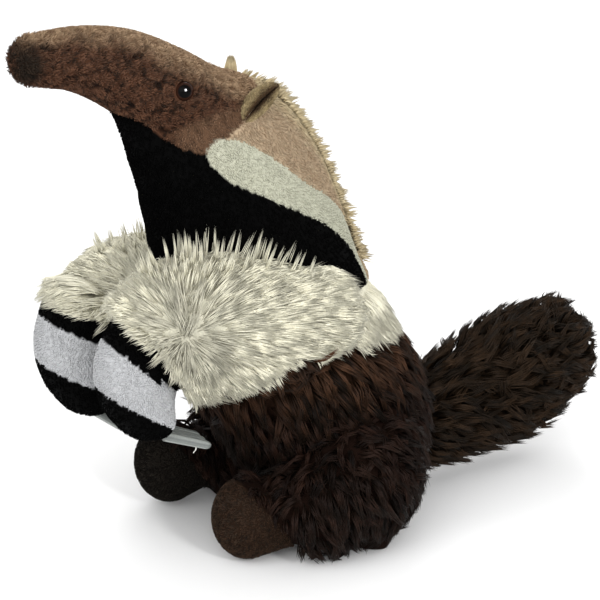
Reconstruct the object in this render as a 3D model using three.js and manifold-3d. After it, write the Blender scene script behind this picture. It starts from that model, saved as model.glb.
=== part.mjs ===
// A plush toy giant anteater, sitting upright on its haunches with both forepaws held out in front.
// Millimetres, +Z up. It faces -Y, its left side is +X, and the origin is on the floor under its seat.

import * as THREE from 'three';
import { mergeVertices } from 'three/addons/utils/BufferGeometryUtils.js';
import Module from 'manifold-3d';

const wasm = await Module();
wasm.setup();
const { Manifold, Mesh: SolidMesh } = wasm;

// Driving dimensions
const GAP = 0.3; // clear space between two sewn pieces
const FAR = 300; // further out than any surface of the toy
const SECTIONS = 24; // along a form, where distances from it are measured
const SAMPLED_ANGLE = 0.8; // around a form, where its length is measured
const ROOT_SPREAD = 0.3; // how far a lock's root may move along its ring, as a share of the spacing
const SIDES = { left: 1, right: -1 };

// Stations of each stuffed form: x, y, z of its middle, then its half width and half depth, out to the
// tips of its pile
const TRUNK = [
  [0, 8, 22, 44, 44],
  [0, 2, 48, 56, 55],
  [0, -18, 87, 60, 57],
  [0, -38, 124, 58, 56],
  [0, -48.5, 160, 50, 53.5],
  [0, -58, 192, 43, 50],
  [0, -72, 218.5, 35, 45],
  [0, -88, 236.3, 27, 35],
];
const THROAT = [
  [0, -92, 206.5, 20, 20],
  [0, -97.7, 228, 20, 20],
  [0, -107, 251, 14, 19],
];
const HEAD = [
  [0, -56, 228, 20, 20],
  [0, -77, 239.5, 24, 24],
  [0, -98.5, 254.5, 24.5, 23.5],
  [0, -120, 268, 21, 21],
  [0, -142.5, 276.5, 16, 17],
  [0, -165.5, 279.5, 12, 13.5],
];
const THIGH = [
  [48, 5, 39, 24.5, 34.5],
  [55, -11, 41, 29, 37.5],
  [49, -38, 28, 28, 30],
  [39, -53, 22, 22, 22],
];
const FOOT = [
  [40, -52, 23, 20, 19],
  [37, -69, 23.5, 20, 23.5],
];
const FORELEG = [
  [50, -34, 140, 26, 26],
  [45, -60, 137.5, 33.5, 38],
  [39, -107.5, 141, 34.5, 41],
  [29, -120.5, 128, 25, 33.5],
];
const PAW = [
  [33, -117.5, 140, 22.5, 22],
  [28, -126.5, 119.5, 24, 23],
  [26, -127, 103, 24, 20],
  [26, -123, 88, 26, 14.5],
];
const TAIL = [
  [0, 58, 40, 23, 30.5],
  [-3, 92, 45, 26, 34],
  [-6, 122, 51, 28, 38],
  [-8, 150, 60.5, 23, 31],
];

// How far the domes at the two ends of a form stand out, as a share of its lesser radius there
const DOMES = {
  trunk: { start: 0.6, end: 0.5 },
  throat: { start: 0.5, end: 0.3 },
  head: { start: 1, end: 1.15 },
  foreleg: { start: 0.5, end: 1 },
  paw: { start: 0.3, end: 0.45 },
};

// How far the right limbs are moved from where the left ones are, seen in a mirror
const SETTLE = {
  left: { thigh: [0, 0, 0], foot: [0, 0, 0], foreleg: [0, 0, 0], paw: [0, 0, 0] },
  right: { thigh: [2, 2, -9], foot: [4, -9, 2], foreleg: [0, 3, -17], paw: [0, -10, -4.5] },
};

// Seams between the fabrics. A seam across the body is a plane, with its height at y = 0 and its fall
// towards +y
const BROWN_SEAM = { height: 114, fall: 0.2 };
const CREAM_SEAM = { height: 141, fall: 0.19 };
// Seams seen from the side are lines of y, z
const HEAD_SEAM = [
  [-136, 234], [-127.5, 247], [-118, 245], [-111, 240], [-104.5, 234], [-97, 229.5],
  [-88, 226.5], [-81, 229], [-73, 235], [-64.5, 240], [-54, 246], [-46, 254], [-36, 268],
];
// The white stripe of each side: y, z of its middle line, then its half width
const STRIPE = [
  [-86, 228, 4], [-80, 226, 8], [-70, 220.5, 10.5], [-55, 211, 9.5], [-38, 199, 7.5],
  [-20, 187, 6.5], [-5, 172.5, 5.6], [4, 157, 3.6], [8, 142, 1.6], [9, 130, 1.2],
];
const STRIPE_ROOT = 12; // how far from the middle of the neck the white inlay starts
const STRIPE_POINTS = 10;

// The seams across each forepaw, from the hem of its sleeve down: each is square to a direction so many
// degrees forward of straight down, at a distance along it from the origin
const PAW_SEAMS = {
  left: { hem: [54.5, 24.7], band: [44.5, 4.6], toe: [30.5, -18.5] },
  right: { hem: [19.5, -79.7], band: [26, -48.9], toe: [26, -25.9] },
};

const EYE = { x: 21.4, y: -95.3, z: 259, radius: 5.05 };
const EAR = {
  root: [20, -54.5, 242.5], out: [0.84, -0.1, 0.52], along: [0, 0.78, 0.62],
  reach: 12, halfLength: 13, halfThick: 5.4, wall: 2, pocket: 7,
};
const CLAW = {
  left: { root: [35, -119, 82.8], heading: [0.22, 0.9, -0.35] },
  right: { root: [-20, -137, 79.5], heading: [0, 0.77, -0.64] },
  length: 24, spacing: 6.5, halfWidth: 3, halfThick: 2.7, count: 3, taper: 0.2,
};

// Long pile. A core fills its node up to `inset` below the tips, and locks grow from the core, `spacing`
// apart. Each is sunk into it, arches over and lies down along the lie of the coat, `inset` above the core.
// Its tip droops
const CREAM_PILE = { inset: 7, spacing: 21, length: 33, width: 19, thick: 5, sink: 5, arch: 1.5, droop: 3 };
const BODY_PILE = { inset: 6, spacing: 23, length: 31, width: 20, thick: 5, sink: 5, arch: 1.4, droop: 2 };
const WRIST_PILE = { ...CREAM_PILE, inset: 3, length: 22 };
const TAIL_PILE = { inset: 7, spacing: 23, length: 34, width: 18, thick: 5, sink: 5, arch: 1.4, droop: 2 };
const MANE_PILE = { inset: 8, length: 12, width: 9, thick: 4, sink: 4, arch: 1, droop: 2 };
// The mane's tufts along the trunk's form, in two staggered rows
const MANE = { start: 0.63, step: 0.026, count: 15, aside: 0.12 };
const MANE_LIE = new THREE.Vector3(0, 0.2, -1);
const DOWN_COAT = new THREE.Vector3(0, 0.4, -1).normalize();
const WHORL = new THREE.Vector3(67, -117, 147); // on the left sleeve, where its pile parts
const PARTING_FALL = 0.6; // how much the pile falls as it parts from the whorl
// How far along a lock each section is, then its share of the lock's width
const LOCK_STATIONS = [[0, 0.6], [0.3, 1], [0.58, 0.85], [0.82, 0.5]];
const LOCK_BEND = 0.3; // how far along a lock its arch is pulled up
const LOCK_SPREAD = { lean: 0.5, length: 0.3, width: 0.2 }; // how much one lock may differ from the next
const KEEL = 0.7; // share of a lock's thickness that is over its middle line
// How far a lock is grown to keep its neighbours clear of its sharp edges
const LOCK_GROWTH = { side: 1.4, under: 0.5, over: 0.7, tip: 1 };
const KEPT_SHARE = 0.55; // a lock of which less is left clear of its neighbours is left out
const LOCK_FLOOR = 12; // no lock is rooted lower than this, where the toy rests on its pile
// Where locks are rooted: from one place along the form to another, and how far from what they meet
const LOCK_BEDS = {
  sleeve: { from: 0.05, to: 1.1, body: 3, hem: 1, seeds: { left: 21, right: 22 } },
  wrist: { from: -0.4, to: 0.7, sleeve: 1 },
  shoulders: { from: 0.3, to: 0.95, limb: 3, underSeam: 4, overSeam: 2, seed: 31 },
  torso: { from: -0.2, to: 0.62, limb: 3, underSeam: 3, seed: 41 },
  leg: { from: -0.75, to: 1.05, body: 3, foot: -2, seeds: { left: 51, right: 52 } },
  tail: { from: 0, to: 1.85, body: 4, seed: 61 },
  mane: { seed: 11 },
};

const FABRIC = {
  brownPlush: { color: 0x6b5446, roughness: 0.95, metalness: 0 },
  tanPlush: { color: 0x9a8168, roughness: 0.95, metalness: 0 },
  blackPlush: { color: 0x0c0b0c, roughness: 0.95, metalness: 0 },
  whitePlush: { color: 0xd9d8c6, roughness: 0.95, metalness: 0 },
  creamPile: { color: 0xdcd6c0, roughness: 0.8, metalness: 0 },
  brownPile: { color: 0x35271f, roughness: 0.85, metalness: 0 },
  darkPlush: { color: 0x2e241b, roughness: 0.9, metalness: 0 },
  olivePlush: { color: 0x9a8d66, roughness: 0.95, metalness: 0 },
  greySatin: { color: 0x9b9f9c, roughness: 0.5, metalness: 0 },
  eyePlastic: { color: 0x1a0f0a, roughness: 0.1, metalness: 0 },
};

/** Numbers from 0 to 1 that look random and are the same in every run. */
function seeded(seed) {
  let state = seed;
  return () => {
    state = (Math.imul(state ^ (state >>> 15), 1 | state) + 0x6d2b79f5) | 0;
    const mixed = Math.imul(state ^ (state >>> 7), 61 | state) ^ state;
    return ((mixed ^ (mixed >>> 14)) >>> 0) / 2 ** 32;
  };
}

// Solids

function solidOf(positions, triangles) {
  return new Manifold(new SolidMesh({
    numProp: 3,
    vertProperties: Float32Array.from(positions),
    triVerts: Uint32Array.from(triangles),
  }));
}

function solidOfGeometry(geometry) {
  geometry.deleteAttribute('normal');
  geometry.deleteAttribute('uv');
  const merged = mergeVertices(geometry, 1e-4);
  return solidOf(merged.attributes.position.array, merged.index.array);
}

function geometryOf(solid) {
  const mesh = solid.getMesh();
  const geometry = new THREE.BufferGeometry();
  geometry.setAttribute('position', new THREE.BufferAttribute(mesh.vertProperties, 3));
  geometry.setIndex(new THREE.BufferAttribute(mesh.triVerts, 1));
  geometry.computeVertexNormals();
  return geometry;
}

/** The largest closed surface of a solid. */
function largest(solid) {
  return solid.decompose().reduce((best, piece) => (piece.volume() > best.volume() ? piece : best));
}

const joined = (solids) => solids.reduce((whole, solid) => whole.add(solid));

/** A closed skin over rings of equally many points, with a point or a flat fan at each end. */
function skinned(rings) {
  const starts = [];
  const positions = [];
  for (const ring of rings) {
    starts.push(positions.length / 3);
    positions.push(...ring.flatMap(({ x, y, z }) => [x, y, z]));
  }
  const triangles = [];
  for (let r = 0; r + 1 < rings.length; r++) {
    const [low, high] = [starts[r], starts[r + 1]];
    const [below, above] = [rings[r].length, rings[r + 1].length];
    const sides = Math.max(below, above);
    for (let k = 0; k < sides; k++) {
      const next = (k + 1) % sides;
      if (below > 1) {
        triangles.push(low + k, low + next, above > 1 ? high + next : high);
      }
      if (above > 1) {
        triangles.push(below > 1 ? low + k : low, high + next, high + k);
      }
    }
  }
  for (let k = 1; k + 1 < rings[0].length; k++) {
    triangles.push(starts[0], starts[0] + k + 1, starts[0] + k);
  }
  return solidOf(positions, triangles);
}

function smoothLine(points) {
  const knots = points.map((point) => new THREE.Vector3(...point));
  return new THREE.CatmullRomCurve3(knots, false, 'catmullrom', 0.5);
}

/** The length of a line, given as its point at 0 to 1. */
function lineLength(pointAt) {
  const points = Array.from({ length: SECTIONS + 1 }, (_, k) => pointAt(k / SECTIONS));
  return points.slice(1).reduce((sum, point, k) => sum + point.distanceTo(points[k]), 0);
}

/**
 * A form smoothed through its stations. Place 0 to 1 runs between its end stations, and 1 more over each
 * dome.
 */
class Form {
  constructor(stations, { grow = 0, start = 1, end = 1 } = {}) {
    this.middles = smoothLine(stations.map(([x, y, z]) => [x, y, z]));
    this.radii = smoothLine(stations.map(([, , , across, deep]) => [across + grow, deep + grow, 0]));
    this.spans = stations.length - 1;
    this.domes = { start, end };
    this.sections = Array.from({ length: SECTIONS + 1 }, (_, k) => this.section(k / SECTIONS));
  }

  section(place) {
    const t = THREE.MathUtils.clamp(place, 0, 1);
    const middle = this.middles.getPoint(t);
    const forward = this.middles.getTangent(t);
    const { x: across, y: deep } = this.radii.getPoint(t);
    const side = new THREE.Vector3(1, 0, 0).addScaledVector(forward, -forward.x).normalize();
    const up = new THREE.Vector3().crossVectors(forward, side);
    const turn = (Math.PI / 2) * (place - t);
    const dome = turn < 0 ? this.domes.start : this.domes.end;
    middle.addScaledVector(forward, Math.sin(turn) * dome * Math.min(across, deep));
    return { middle, forward, side, up, across: across * Math.cos(turn), deep: deep * Math.cos(turn) };
  }

  point(place, angle) {
    const { middle, side, up, across, deep } = this.section(place);
    middle.addScaledVector(side, Math.cos(angle) * across);
    return middle.addScaledVector(up, Math.sin(angle) * deep);
  }

  solid({ sides = 14, steps = 1, domeSteps = 3 } = {}) {
    const places = [];
    for (let j = -domeSteps; j < 0; j++) {
      places.push(j / domeSteps);
    }
    for (let k = 0; k < this.spans * steps; k++) {
      places.push(k / (this.spans * steps));
    }
    for (let j = 0; j <= domeSteps; j++) {
      places.push(1 + j / domeSteps);
    }
    return skinned(places.map((place) => {
      const count = Math.abs(place - 0.5) >= 1.5 ? 1 : sides;
      return Array.from({ length: count }, (_, k) => this.point(place, (2 * Math.PI * k) / sides));
    }));
  }

  /** How far out a point lies from the middle of one section, where 1 is on the form grown by a margin. */
  share(point, cut, margin) {
    const away = point.clone().sub(cut.middle);
    const [across, deep] = [cut.across + margin, cut.deep + margin];
    const dome = Math.min(across, deep);
    return Math.hypot(away.dot(cut.side) / across, away.dot(cut.up) / deep, away.dot(cut.forward) / dome);
  }

  /** Whether the form, grown by a margin, holds a point. */
  holds(point, margin) {
    return this.sections.some((cut) => this.share(point, cut, margin) < 1);
  }

  /** A point moved away from the form's middle, or towards it, to lie at a height over the form. */
  laid(point, height) {
    const ahead = ({ middle, forward }) => Math.abs(point.clone().sub(middle).dot(forward));
    const cut = this.sections.reduce((best, next) => (ahead(next) < ahead(best) ? next : best));
    return cut.middle.clone().lerp(point, 1 / this.share(point, cut, height));
  }

  /** Roots of locks in one bed, in staggered rings that lie `spacing` apart. */
  roots({ from, to }, spacing, random) {
    const placeOf = (share) => from + (to - from) * share;
    const length = lineLength((t) => this.point(placeOf(t), SAMPLED_ANGLE));
    const rows = Math.max(1, Math.round(length / spacing));
    const roots = [];
    for (let row = 0; row < rows; row++) {
      const place = placeOf((row + 0.5) / rows);
      const girth = lineLength((t) => this.point(place, 2 * Math.PI * t));
      const count = Math.max(3, Math.round(girth / spacing));
      for (let k = 0; k < count; k++) {
        const turn = k + 0.5 * (row % 2) + ROOT_SPREAD * (random() - 0.5);
        roots.push(this.root(place, (2 * Math.PI * turn) / count));
      }
    }
    return roots;
  }

  root(place, angle) {
    const step = 0.01;
    const along = this.point(place + step, angle).sub(this.point(place - step, angle)).normalize();
    const round = this.point(place, angle + step).sub(this.point(place, angle - step)).normalize();
    const out = new THREE.Vector3().crossVectors(round, along).normalize();
    return { form: this, point: this.point(place, angle), along, out };
  }
}

/** A prism that reaches from x0 to x1, with the given outline of y, z. */
function prism(outline, x0, x1) {
  const shape = new THREE.Shape(outline.map(([y, z]) => new THREE.Vector2(y, z)));
  const geometry = new THREE.ExtrudeGeometry(shape, { depth: x1 - x0, bevelEnabled: false, steps: 1 });
  const turn = new THREE.Matrix4().makeBasis(
    new THREE.Vector3(0, 1, 0), new THREE.Vector3(0, 0, 1), new THREE.Vector3(1, 0, 0));
  geometry.applyMatrix4(turn);
  geometry.translate(x0, 0, 0);
  return solidOfGeometry(geometry);
}

/** A line of y, z moved to the left of its own direction, by one distance or one for each point. */
function movedLeft(line, by) {
  return line.map(([y, z], i) => {
    const [y0, z0] = line[Math.max(i - 1, 0)];
    const [y1, z1] = line[Math.min(i + 1, line.length - 1)];
    const share = (Array.isArray(by) ? by[i] : by) / Math.hypot(y1 - y0, z1 - z0);
    return [y - share * (z1 - z0), z + share * (y1 - y0)];
  });
}

/** What lies above a seam plane, or below it, and at least `away` from it. */
function cutBySeam(solid, seam, above, away = GAP / 2) {
  const normal = new THREE.Vector3(0, seam.fall, 1).normalize();
  const offset = seam.height * normal.z;
  return above
    ? solid.trimByPlane(normal.toArray(), offset + away)
    : solid.trimByPlane(normal.clone().negate().toArray(), away - offset);
}

const heightOver = (seam, { y, z }) => (z + seam.fall * y - seam.height) / Math.hypot(seam.fall, 1);

/** What lies on the floor or over it. */
const overFloor = (solid) => solid.trimByPlane([0, 0, 1], 0);

// Forms, each with an option to grow by the gap for cutting its neighbours

/** The stations of a limb on its own side of the toy. */
function placed(stations, side, [dx, dy, dz]) {
  return stations.map(([x, y, z, ...radii]) => [SIDES[side] * (x + dx), y + dy, z + dz, ...radii]);
}

/** The stations of a core, thinner by its pile's inset. The ones it rests on are lowered too. */
function cored(stations, pile, resting = 0) {
  return stations.map(([x, y, z, across, deep], i) =>
    [x, y, z - (i < resting ? pile.inset : 0), across - pile.inset, deep - pile.inset]);
}

const bodyForm = (grow = 0) => joined([
  new Form(TRUNK, { grow, ...DOMES.trunk }).solid({ sides: 20, steps: 2 }),
  new Form(THROAT, { grow, ...DOMES.throat }).solid({ sides: 16, domeSteps: 2 }),
  new Form(HEAD, { grow, ...DOMES.head }).solid({ sides: 18, steps: 2 }),
]);
const TORSO_STATIONS = TRUNK.slice(0, 6);
const trunkCore = (grow = 0) =>
  new Form(cored(TORSO_STATIONS, BODY_PILE, 1), { grow, start: DOMES.trunk.start });
const thighCore = (side, grow = 0) =>
  new Form(placed(cored(THIGH, BODY_PILE, THIGH.length), side, SETTLE[side].thigh), { grow });
const footForm = (side, grow = 0) => new Form(placed(FOOT, side, SETTLE[side].foot), { grow });
const sleeveCore = (side, grow = 0) =>
  new Form(placed(cored(FORELEG, CREAM_PILE), side, SETTLE[side].foreleg), { grow, ...DOMES.foreleg });
const pawForm = (side, grow = 0) =>
  new Form(placed(PAW, side, SETTLE[side].paw), { grow, ...DOMES.paw });
const tailCore = (grow = 0) => new Form(cored(TAIL, TAIL_PILE), { grow });

/** A sleeve's core and the wrist in it. */
const sleeveSolid = (side, grow = 0) => sleeveCore(side, grow).solid().add(pawForm(side, grow).solid());

/** The direction square to a seam across a forepaw, and the seam's distance along it. */
function pawSeam(side, seam) {
  const [forward, distance] = PAW_SEAMS[side][seam];
  const angle = THREE.MathUtils.degToRad(forward);
  return { down: new THREE.Vector3(0, -Math.sin(angle), -Math.cos(angle)), distance };
}

/** What lies on one side of a seam across a forepaw. */
function cutAcrossPaw(solid, side, seam, beyond, away = GAP / 2) {
  const { down, distance } = pawSeam(side, seam);
  return beyond
    ? solid.trimByPlane(down.toArray(), distance + away)
    : solid.trimByPlane(down.clone().negate().toArray(), away - distance);
}

/** An eye is a round plastic bead, sunk into the head. */
function eyeForm(side, grow = 0) {
  const bead = new THREE.SphereGeometry(EYE.radius + grow, 12, 8);
  bead.translate(SIDES[side] * EYE.x, EYE.y, EYE.z);
  return solidOfGeometry(bead);
}

/** An ear is a flat pouch that stands out from the head, open at its rim. */
function earForm(side, grow = 0) {
  const sign = SIDES[side];
  const out = new THREE.Vector3(...EAR.out).normalize();
  const along = new THREE.Vector3(...EAR.along).projectOnPlane(out).normalize();
  const thin = new THREE.Vector3().crossVectors(out, along);
  const root = new THREE.Vector3(...EAR.root);

  function pouch(from, to, halfLength, halfThick) {
    const geometry = new THREE.SphereGeometry(1, 14, 8);
    const middle = root.clone().addScaledVector(out, (from + to) / 2);
    const frame = new THREE.Matrix4().makeBasis(
      along.clone().multiplyScalar(halfLength),
      thin.clone().multiplyScalar(halfThick),
      out.clone().multiplyScalar((to - from) / 2),
    );
    geometry.applyMatrix4(frame.setPosition(middle));
    if (frame.determinant() < 0) {
      geometry.index.array.reverse();
    }
    if (sign < 0) {
      geometry.scale(-1, 1, 1);
      geometry.index.array.reverse();
    }
    return solidOfGeometry(geometry);
  }

  const reach = EAR.reach + grow;
  const whole = pouch(-reach, reach, EAR.halfLength + grow, EAR.halfThick + grow);
  if (grow > 0) {
    return whole;
  }
  const [low, high] = [EAR.reach - EAR.pocket, EAR.reach + EAR.pocket];
  const hollow = pouch(low, high, EAR.halfLength - EAR.wall, EAR.halfThick - EAR.wall);
  return whole.subtract(hollow);
}

/** A claw is a flat tube of satin that leaves the toe at its back and points towards the body. */
function clawForm(side, index, grow = 0) {
  const { root, heading } = CLAW[side];
  const across = (index - (CLAW.count - 1) / 2) * CLAW.spacing;
  const middle = new THREE.Vector3(...root).add(new THREE.Vector3(across, 0, 0));
  const stations = [0, 0.5, 1].map((share) => {
    const at = middle.clone().addScaledVector(new THREE.Vector3(...heading), CLAW.length * share);
    const size = 1 - CLAW.taper * share;
    return [...at.toArray(), CLAW.halfWidth * size + grow, CLAW.halfThick * size + grow];
  });
  return new Form(stations).solid({ sides: 6, domeSteps: 2 });
}

/** A flat, keeled lock that tapers to a point. It leaves its sunk root upwards and bends over. */
function lockForm({ form, point, out, lie, length, width, pile }, grown = false) {
  const growth = grown ? LOCK_GROWTH : { side: 0, under: 0, over: 0, tip: 0 };
  const across = new THREE.Vector3().crossVectors(out, lie).normalize();
  const tip = form.laid(point.clone().addScaledVector(lie, length), pile.inset);
  const path = new THREE.QuadraticBezierCurve3(
    point.clone().addScaledVector(out, -pile.sink),
    form.laid(point.clone().addScaledVector(lie, LOCK_BEND * length), pile.arch * pile.inset),
    tip.add(new THREE.Vector3(0, 0, -pile.droop)));
  const rings = LOCK_STATIONS.map(([place, share]) => {
    const middle = path.getPoint(place);
    const over = new THREE.Vector3().crossVectors(path.getTangent(place), across).normalize();
    const half = (width * share) / 2 + growth.side;
    const under = (KEEL - 1) * pile.thick * share - growth.under;
    const top = KEEL * pile.thick * share + growth.over;
    return [
      middle.clone().addScaledVector(across, half).addScaledVector(over, under),
      middle.clone().addScaledVector(over, top),
      middle.clone().addScaledVector(across, -half).addScaledVector(over, under),
    ];
  });
  return skinned([...rings, [path.getPoint(1).addScaledVector(path.getTangent(1), growth.tip)]]);
}

/** A core with its locks, cut clear of the blockers, and the same grown. */
function furred(core, coreGrown, locks, blockers) {
  const blocker = joined(blockers);
  const kept = locks.filter((lock) => {
    const whole = lockForm(lock);
    return whole.subtract(blocker).volume() > KEPT_SHARE * whole.volume();
  });
  const solid = joined([core, ...kept.map((lock) => lockForm(lock))]).subtract(blocker);
  const grown = joined([coreGrown, ...kept.map((lock) => lockForm(lock, true))]);
  return { solid: largest(overFloor(solid)), grown };
}

/** Locks of one kind of pile on the given roots, each a little different from the next. */
function locksOn(roots, pile, lieAt, random) {
  const varied = (size, spread) => size * (1 + spread * (random() - 0.5));
  return roots.map((root) => {
    const lean = new THREE.Vector3(random() - 0.5, random() - 0.5, random() - 0.5);
    lean.multiplyScalar(LOCK_SPREAD.lean);
    const lie = lieAt(root).clone().add(lean).projectOnPlane(root.out).normalize();
    const length = varied(pile.length, LOCK_SPREAD.length);
    const width = varied(pile.width, LOCK_SPREAD.width);
    return { ...root, lie, length, width, pile };
  });
}

// Pieces, each cut clear of its neighbours

const group = new THREE.Group();
const SIDE_NAMES = Object.keys(SIDES);
const forBothSides = (make) => joined(SIDE_NAMES.map(make));

function addPiece(name, solid, finish) {
  const mesh = new THREE.Mesh(geometryOf(largest(solid)), new THREE.MeshStandardMaterial(FABRIC[finish]));
  mesh.name = name;
  group.add(mesh);
}

const collar = cutBySeam(bodyForm(), CREAM_SEAM, true);
const collarGrown = cutBySeam(bodyForm(GAP), CREAM_SEAM, true, -GAP / 2);
const crown = [[FAR, FAR], [-FAR, FAR], [-FAR, HEAD_SEAM[0][1]]];
const headRegion = (by) => prism([...movedLeft(HEAD_SEAM, by), ...crown], -FAR, FAR);
const stripePoints = smoothLine(STRIPE).getPoints(STRIPE_POINTS);
const stripeLine = stripePoints.map(({ x, y }) => [x, y]);
const earsGrown = forBothSides((side) => earForm(side, GAP));
const feetGrown = forBothSides((side) => footForm(side, GAP).solid());

function stripePrism(side, grow) {
  const widths = stripePoints.map(({ z }) => z + grow);
  const below = movedLeft(stripeLine, widths.map((width) => -width)).reverse();
  const outline = [...movedLeft(stripeLine, widths), ...below];
  const [near, far] = [STRIPE_ROOT - grow, FAR];
  return side === 'left' ? prism(outline, near, far) : prism(outline, -far, -near);
}

/** What lies behind the stripe's middle line, seen from the side. */
function behindRegion(by) {
  const line = [[STRIPE[0][0] - STRIPE[0][2], FAR], ...stripeLine, [STRIPE.at(-1)[0], -FAR]];
  return prism([...movedLeft(line, by), [FAR, -FAR], [FAR, FAR]], -FAR, FAR);
}

function addHead() {
  const eyesGrown = forBothSides((side) => eyeForm(side, GAP));
  const head = collar.intersect(headRegion(GAP / 2)).subtract(eyesGrown).subtract(earsGrown);
  addPiece('head', head, 'brownPlush');
  for (const side of SIDE_NAMES) {
    addPiece(`eye_${side}`, eyeForm(side), 'eyePlastic');
    addPiece(`ear_${side}`, earForm(side), 'olivePlush');
  }
}

/** The neck: black throat, a white stripe inlaid on each side and the tan nape, which carries the mane. */
function addNeck(shouldersGrown) {
  const neck = collar.subtract(headRegion(-GAP / 2)).subtract(earsGrown);
  const stripesGrown = forBothSides((side) => stripePrism(side, GAP));
  const plain = neck.subtract(stripesGrown);
  addPiece('throat', plain.subtract(behindRegion(-GAP / 2)), 'blackPlush');
  for (const side of SIDE_NAMES) {
    addPiece(`neck_stripe_${side}`, neck.intersect(stripePrism(side, 0)), 'whitePlush');
  }
  const random = seeded(LOCK_BEDS.mane.seed);
  const back = new Form(TRUNK, DOMES.trunk);
  const roots = [];
  for (let k = 0; k < MANE.count; k++) {
    const angle = Math.PI / 2 + (k % 2 ? MANE.aside : -MANE.aside);
    roots.push(back.root(MANE.start + MANE.step * k, angle));
  }
  const locks = locksOn(roots, MANE_PILE, () => MANE_LIE, random);
  const nape = plain.intersect(behindRegion(GAP / 2));
  const headGrown = collarGrown.intersect(headRegion(-GAP / 2));
  const mane = furred(nape, nape, locks, [headGrown, stripesGrown, earsGrown, shouldersGrown]);
  addPiece('nape', mane.solid, 'tanPlush');
}

function addForepaw(side) {
  const paw = pawForm(side).solid().subtract(cutBySeam(trunkCore(GAP).solid(), CREAM_SEAM, false));
  const belowHem = cutAcrossPaw(paw, side, 'hem', true);
  const belowBandSeam = cutAcrossPaw(paw, side, 'band', true);
  addPiece(`forepaw_cuff_${side}`, cutAcrossPaw(belowHem, side, 'band', false), 'blackPlush');
  addPiece(`forepaw_band_${side}`, cutAcrossPaw(belowBandSeam, side, 'toe', false), 'whitePlush');
  addPiece(`forepaw_toe_${side}`, cutAcrossPaw(paw, side, 'toe', true), 'blackPlush');
  const pawGrown = pawForm(side, GAP).solid();
  for (let index = 0; index < CLAW.count; index++) {
    addPiece(`claw_${side}_${index + 1}`, clawForm(side, index).subtract(pawGrown), 'greySatin');
  }
}

/** The forepaws and claws, grown, which the pile around them is cut clear of. */
function pawsGrown() {
  return joined(SIDE_NAMES.flatMap((side) => [
    cutAcrossPaw(pawForm(side, GAP).solid(), side, 'hem', true, -GAP / 2),
    ...Array.from({ length: CLAW.count }, (_, index) => clawForm(side, index, GAP)),
  ]));
}

function addSleeves(paws) {
  const bed = LOCK_BEDS.sleeve;
  const grown = [];
  for (const side of SIDE_NAMES) {
    const random = seeded(bed.seeds[side]);
    const form = sleeveCore(side);
    const core = cutAcrossPaw(sleeveSolid(side), side, 'hem', false);
    const coreGrown = cutAcrossPaw(sleeveSolid(side, GAP), side, 'hem', false, -GAP / 2);
    const { down, distance } = pawSeam(side, 'hem');
    const growsPile = ({ point }) =>
      !trunkCore().holds(point, bed.body) && point.dot(down) < distance - bed.hem;
    const roots = form.roots(bed, CREAM_PILE.spacing, random).filter(growsPile);
    const wristRoots = pawForm(side).roots(LOCK_BEDS.wrist, CREAM_PILE.spacing, random)
      .filter((root) => growsPile(root) && !form.holds(root.point, LOCK_BEDS.wrist.sleeve));
    const whorl = WHORL.clone().multiply(new THREE.Vector3(SIDES[side], 1, 1));
    const parting = ({ point }) =>
      point.clone().sub(whorl).normalize().addScaledVector(DOWN_COAT, PARTING_FALL);
    const locks = [
      ...locksOn(roots, CREAM_PILE, parting, random),
      ...locksOn(wristRoots, WRIST_PILE, parting, random),
    ];
    const sleeve = furred(core, coreGrown, locks, [collarGrown, trunkCore(GAP).solid(), paws, ...grown]);
    addPiece(`foreleg_${side}`, sleeve.solid, 'creamPile');
    grown.push(sleeve.grown);
  }
  return grown;
}

function addShoulders(paws, sleeves) {
  const bed = LOCK_BEDS.shoulders;
  const random = seeded(bed.seed);
  const between = (solid, away) =>
    cutBySeam(cutBySeam(solid, CREAM_SEAM, false, away), BROWN_SEAM, true, away);
  const limbs = SIDE_NAMES.map((side) => sleeveCore(side));
  const roots = trunkCore().roots(bed, CREAM_PILE.spacing, random).filter(({ point }) =>
    heightOver(CREAM_SEAM, point) < -bed.underSeam
    && heightOver(BROWN_SEAM, point) > bed.overSeam
    && !limbs.some((limb) => limb.holds(point, bed.limb)));
  const locks = locksOn(roots, CREAM_PILE, () => DOWN_COAT, random);
  const torsoGrown = cutBySeam(trunkCore(GAP).solid(), BROWN_SEAM, false, -GAP / 2);
  const blockers = [collarGrown, torsoGrown, paws, ...sleeves];
  const coreGrown = between(trunkCore(GAP).solid(), -GAP / 2);
  const band = furred(between(trunkCore().solid(), GAP / 2), coreGrown, locks, blockers);
  addPiece('shoulders', band.solid, 'creamPile');
  return band.grown;
}

function addTorso(blockers) {
  const bed = LOCK_BEDS.torso;
  const random = seeded(bed.seed);
  const limbs = [...SIDE_NAMES.map((side) => thighCore(side)), tailCore()];
  const roots = trunkCore().roots(bed, BODY_PILE.spacing, random).filter(({ point }) =>
    heightOver(BROWN_SEAM, point) < -bed.underSeam
    && point.z > LOCK_FLOOR
    && !limbs.some((limb) => limb.holds(point, bed.limb)));
  const locks = locksOn(roots, BODY_PILE, () => DOWN_COAT, random);
  const core = cutBySeam(trunkCore().solid(), BROWN_SEAM, false);
  const limbsGrown = [forBothSides((side) => thighCore(side, GAP).solid()), tailCore(GAP).solid()]
    .map((limb) => limb.subtract(trunkCore().solid()));
  const torso = furred(core, trunkCore(GAP).solid(), locks, [...blockers, ...limbsGrown]);
  addPiece('torso', torso.solid, 'brownPile');
  return torso.grown;
}

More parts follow.
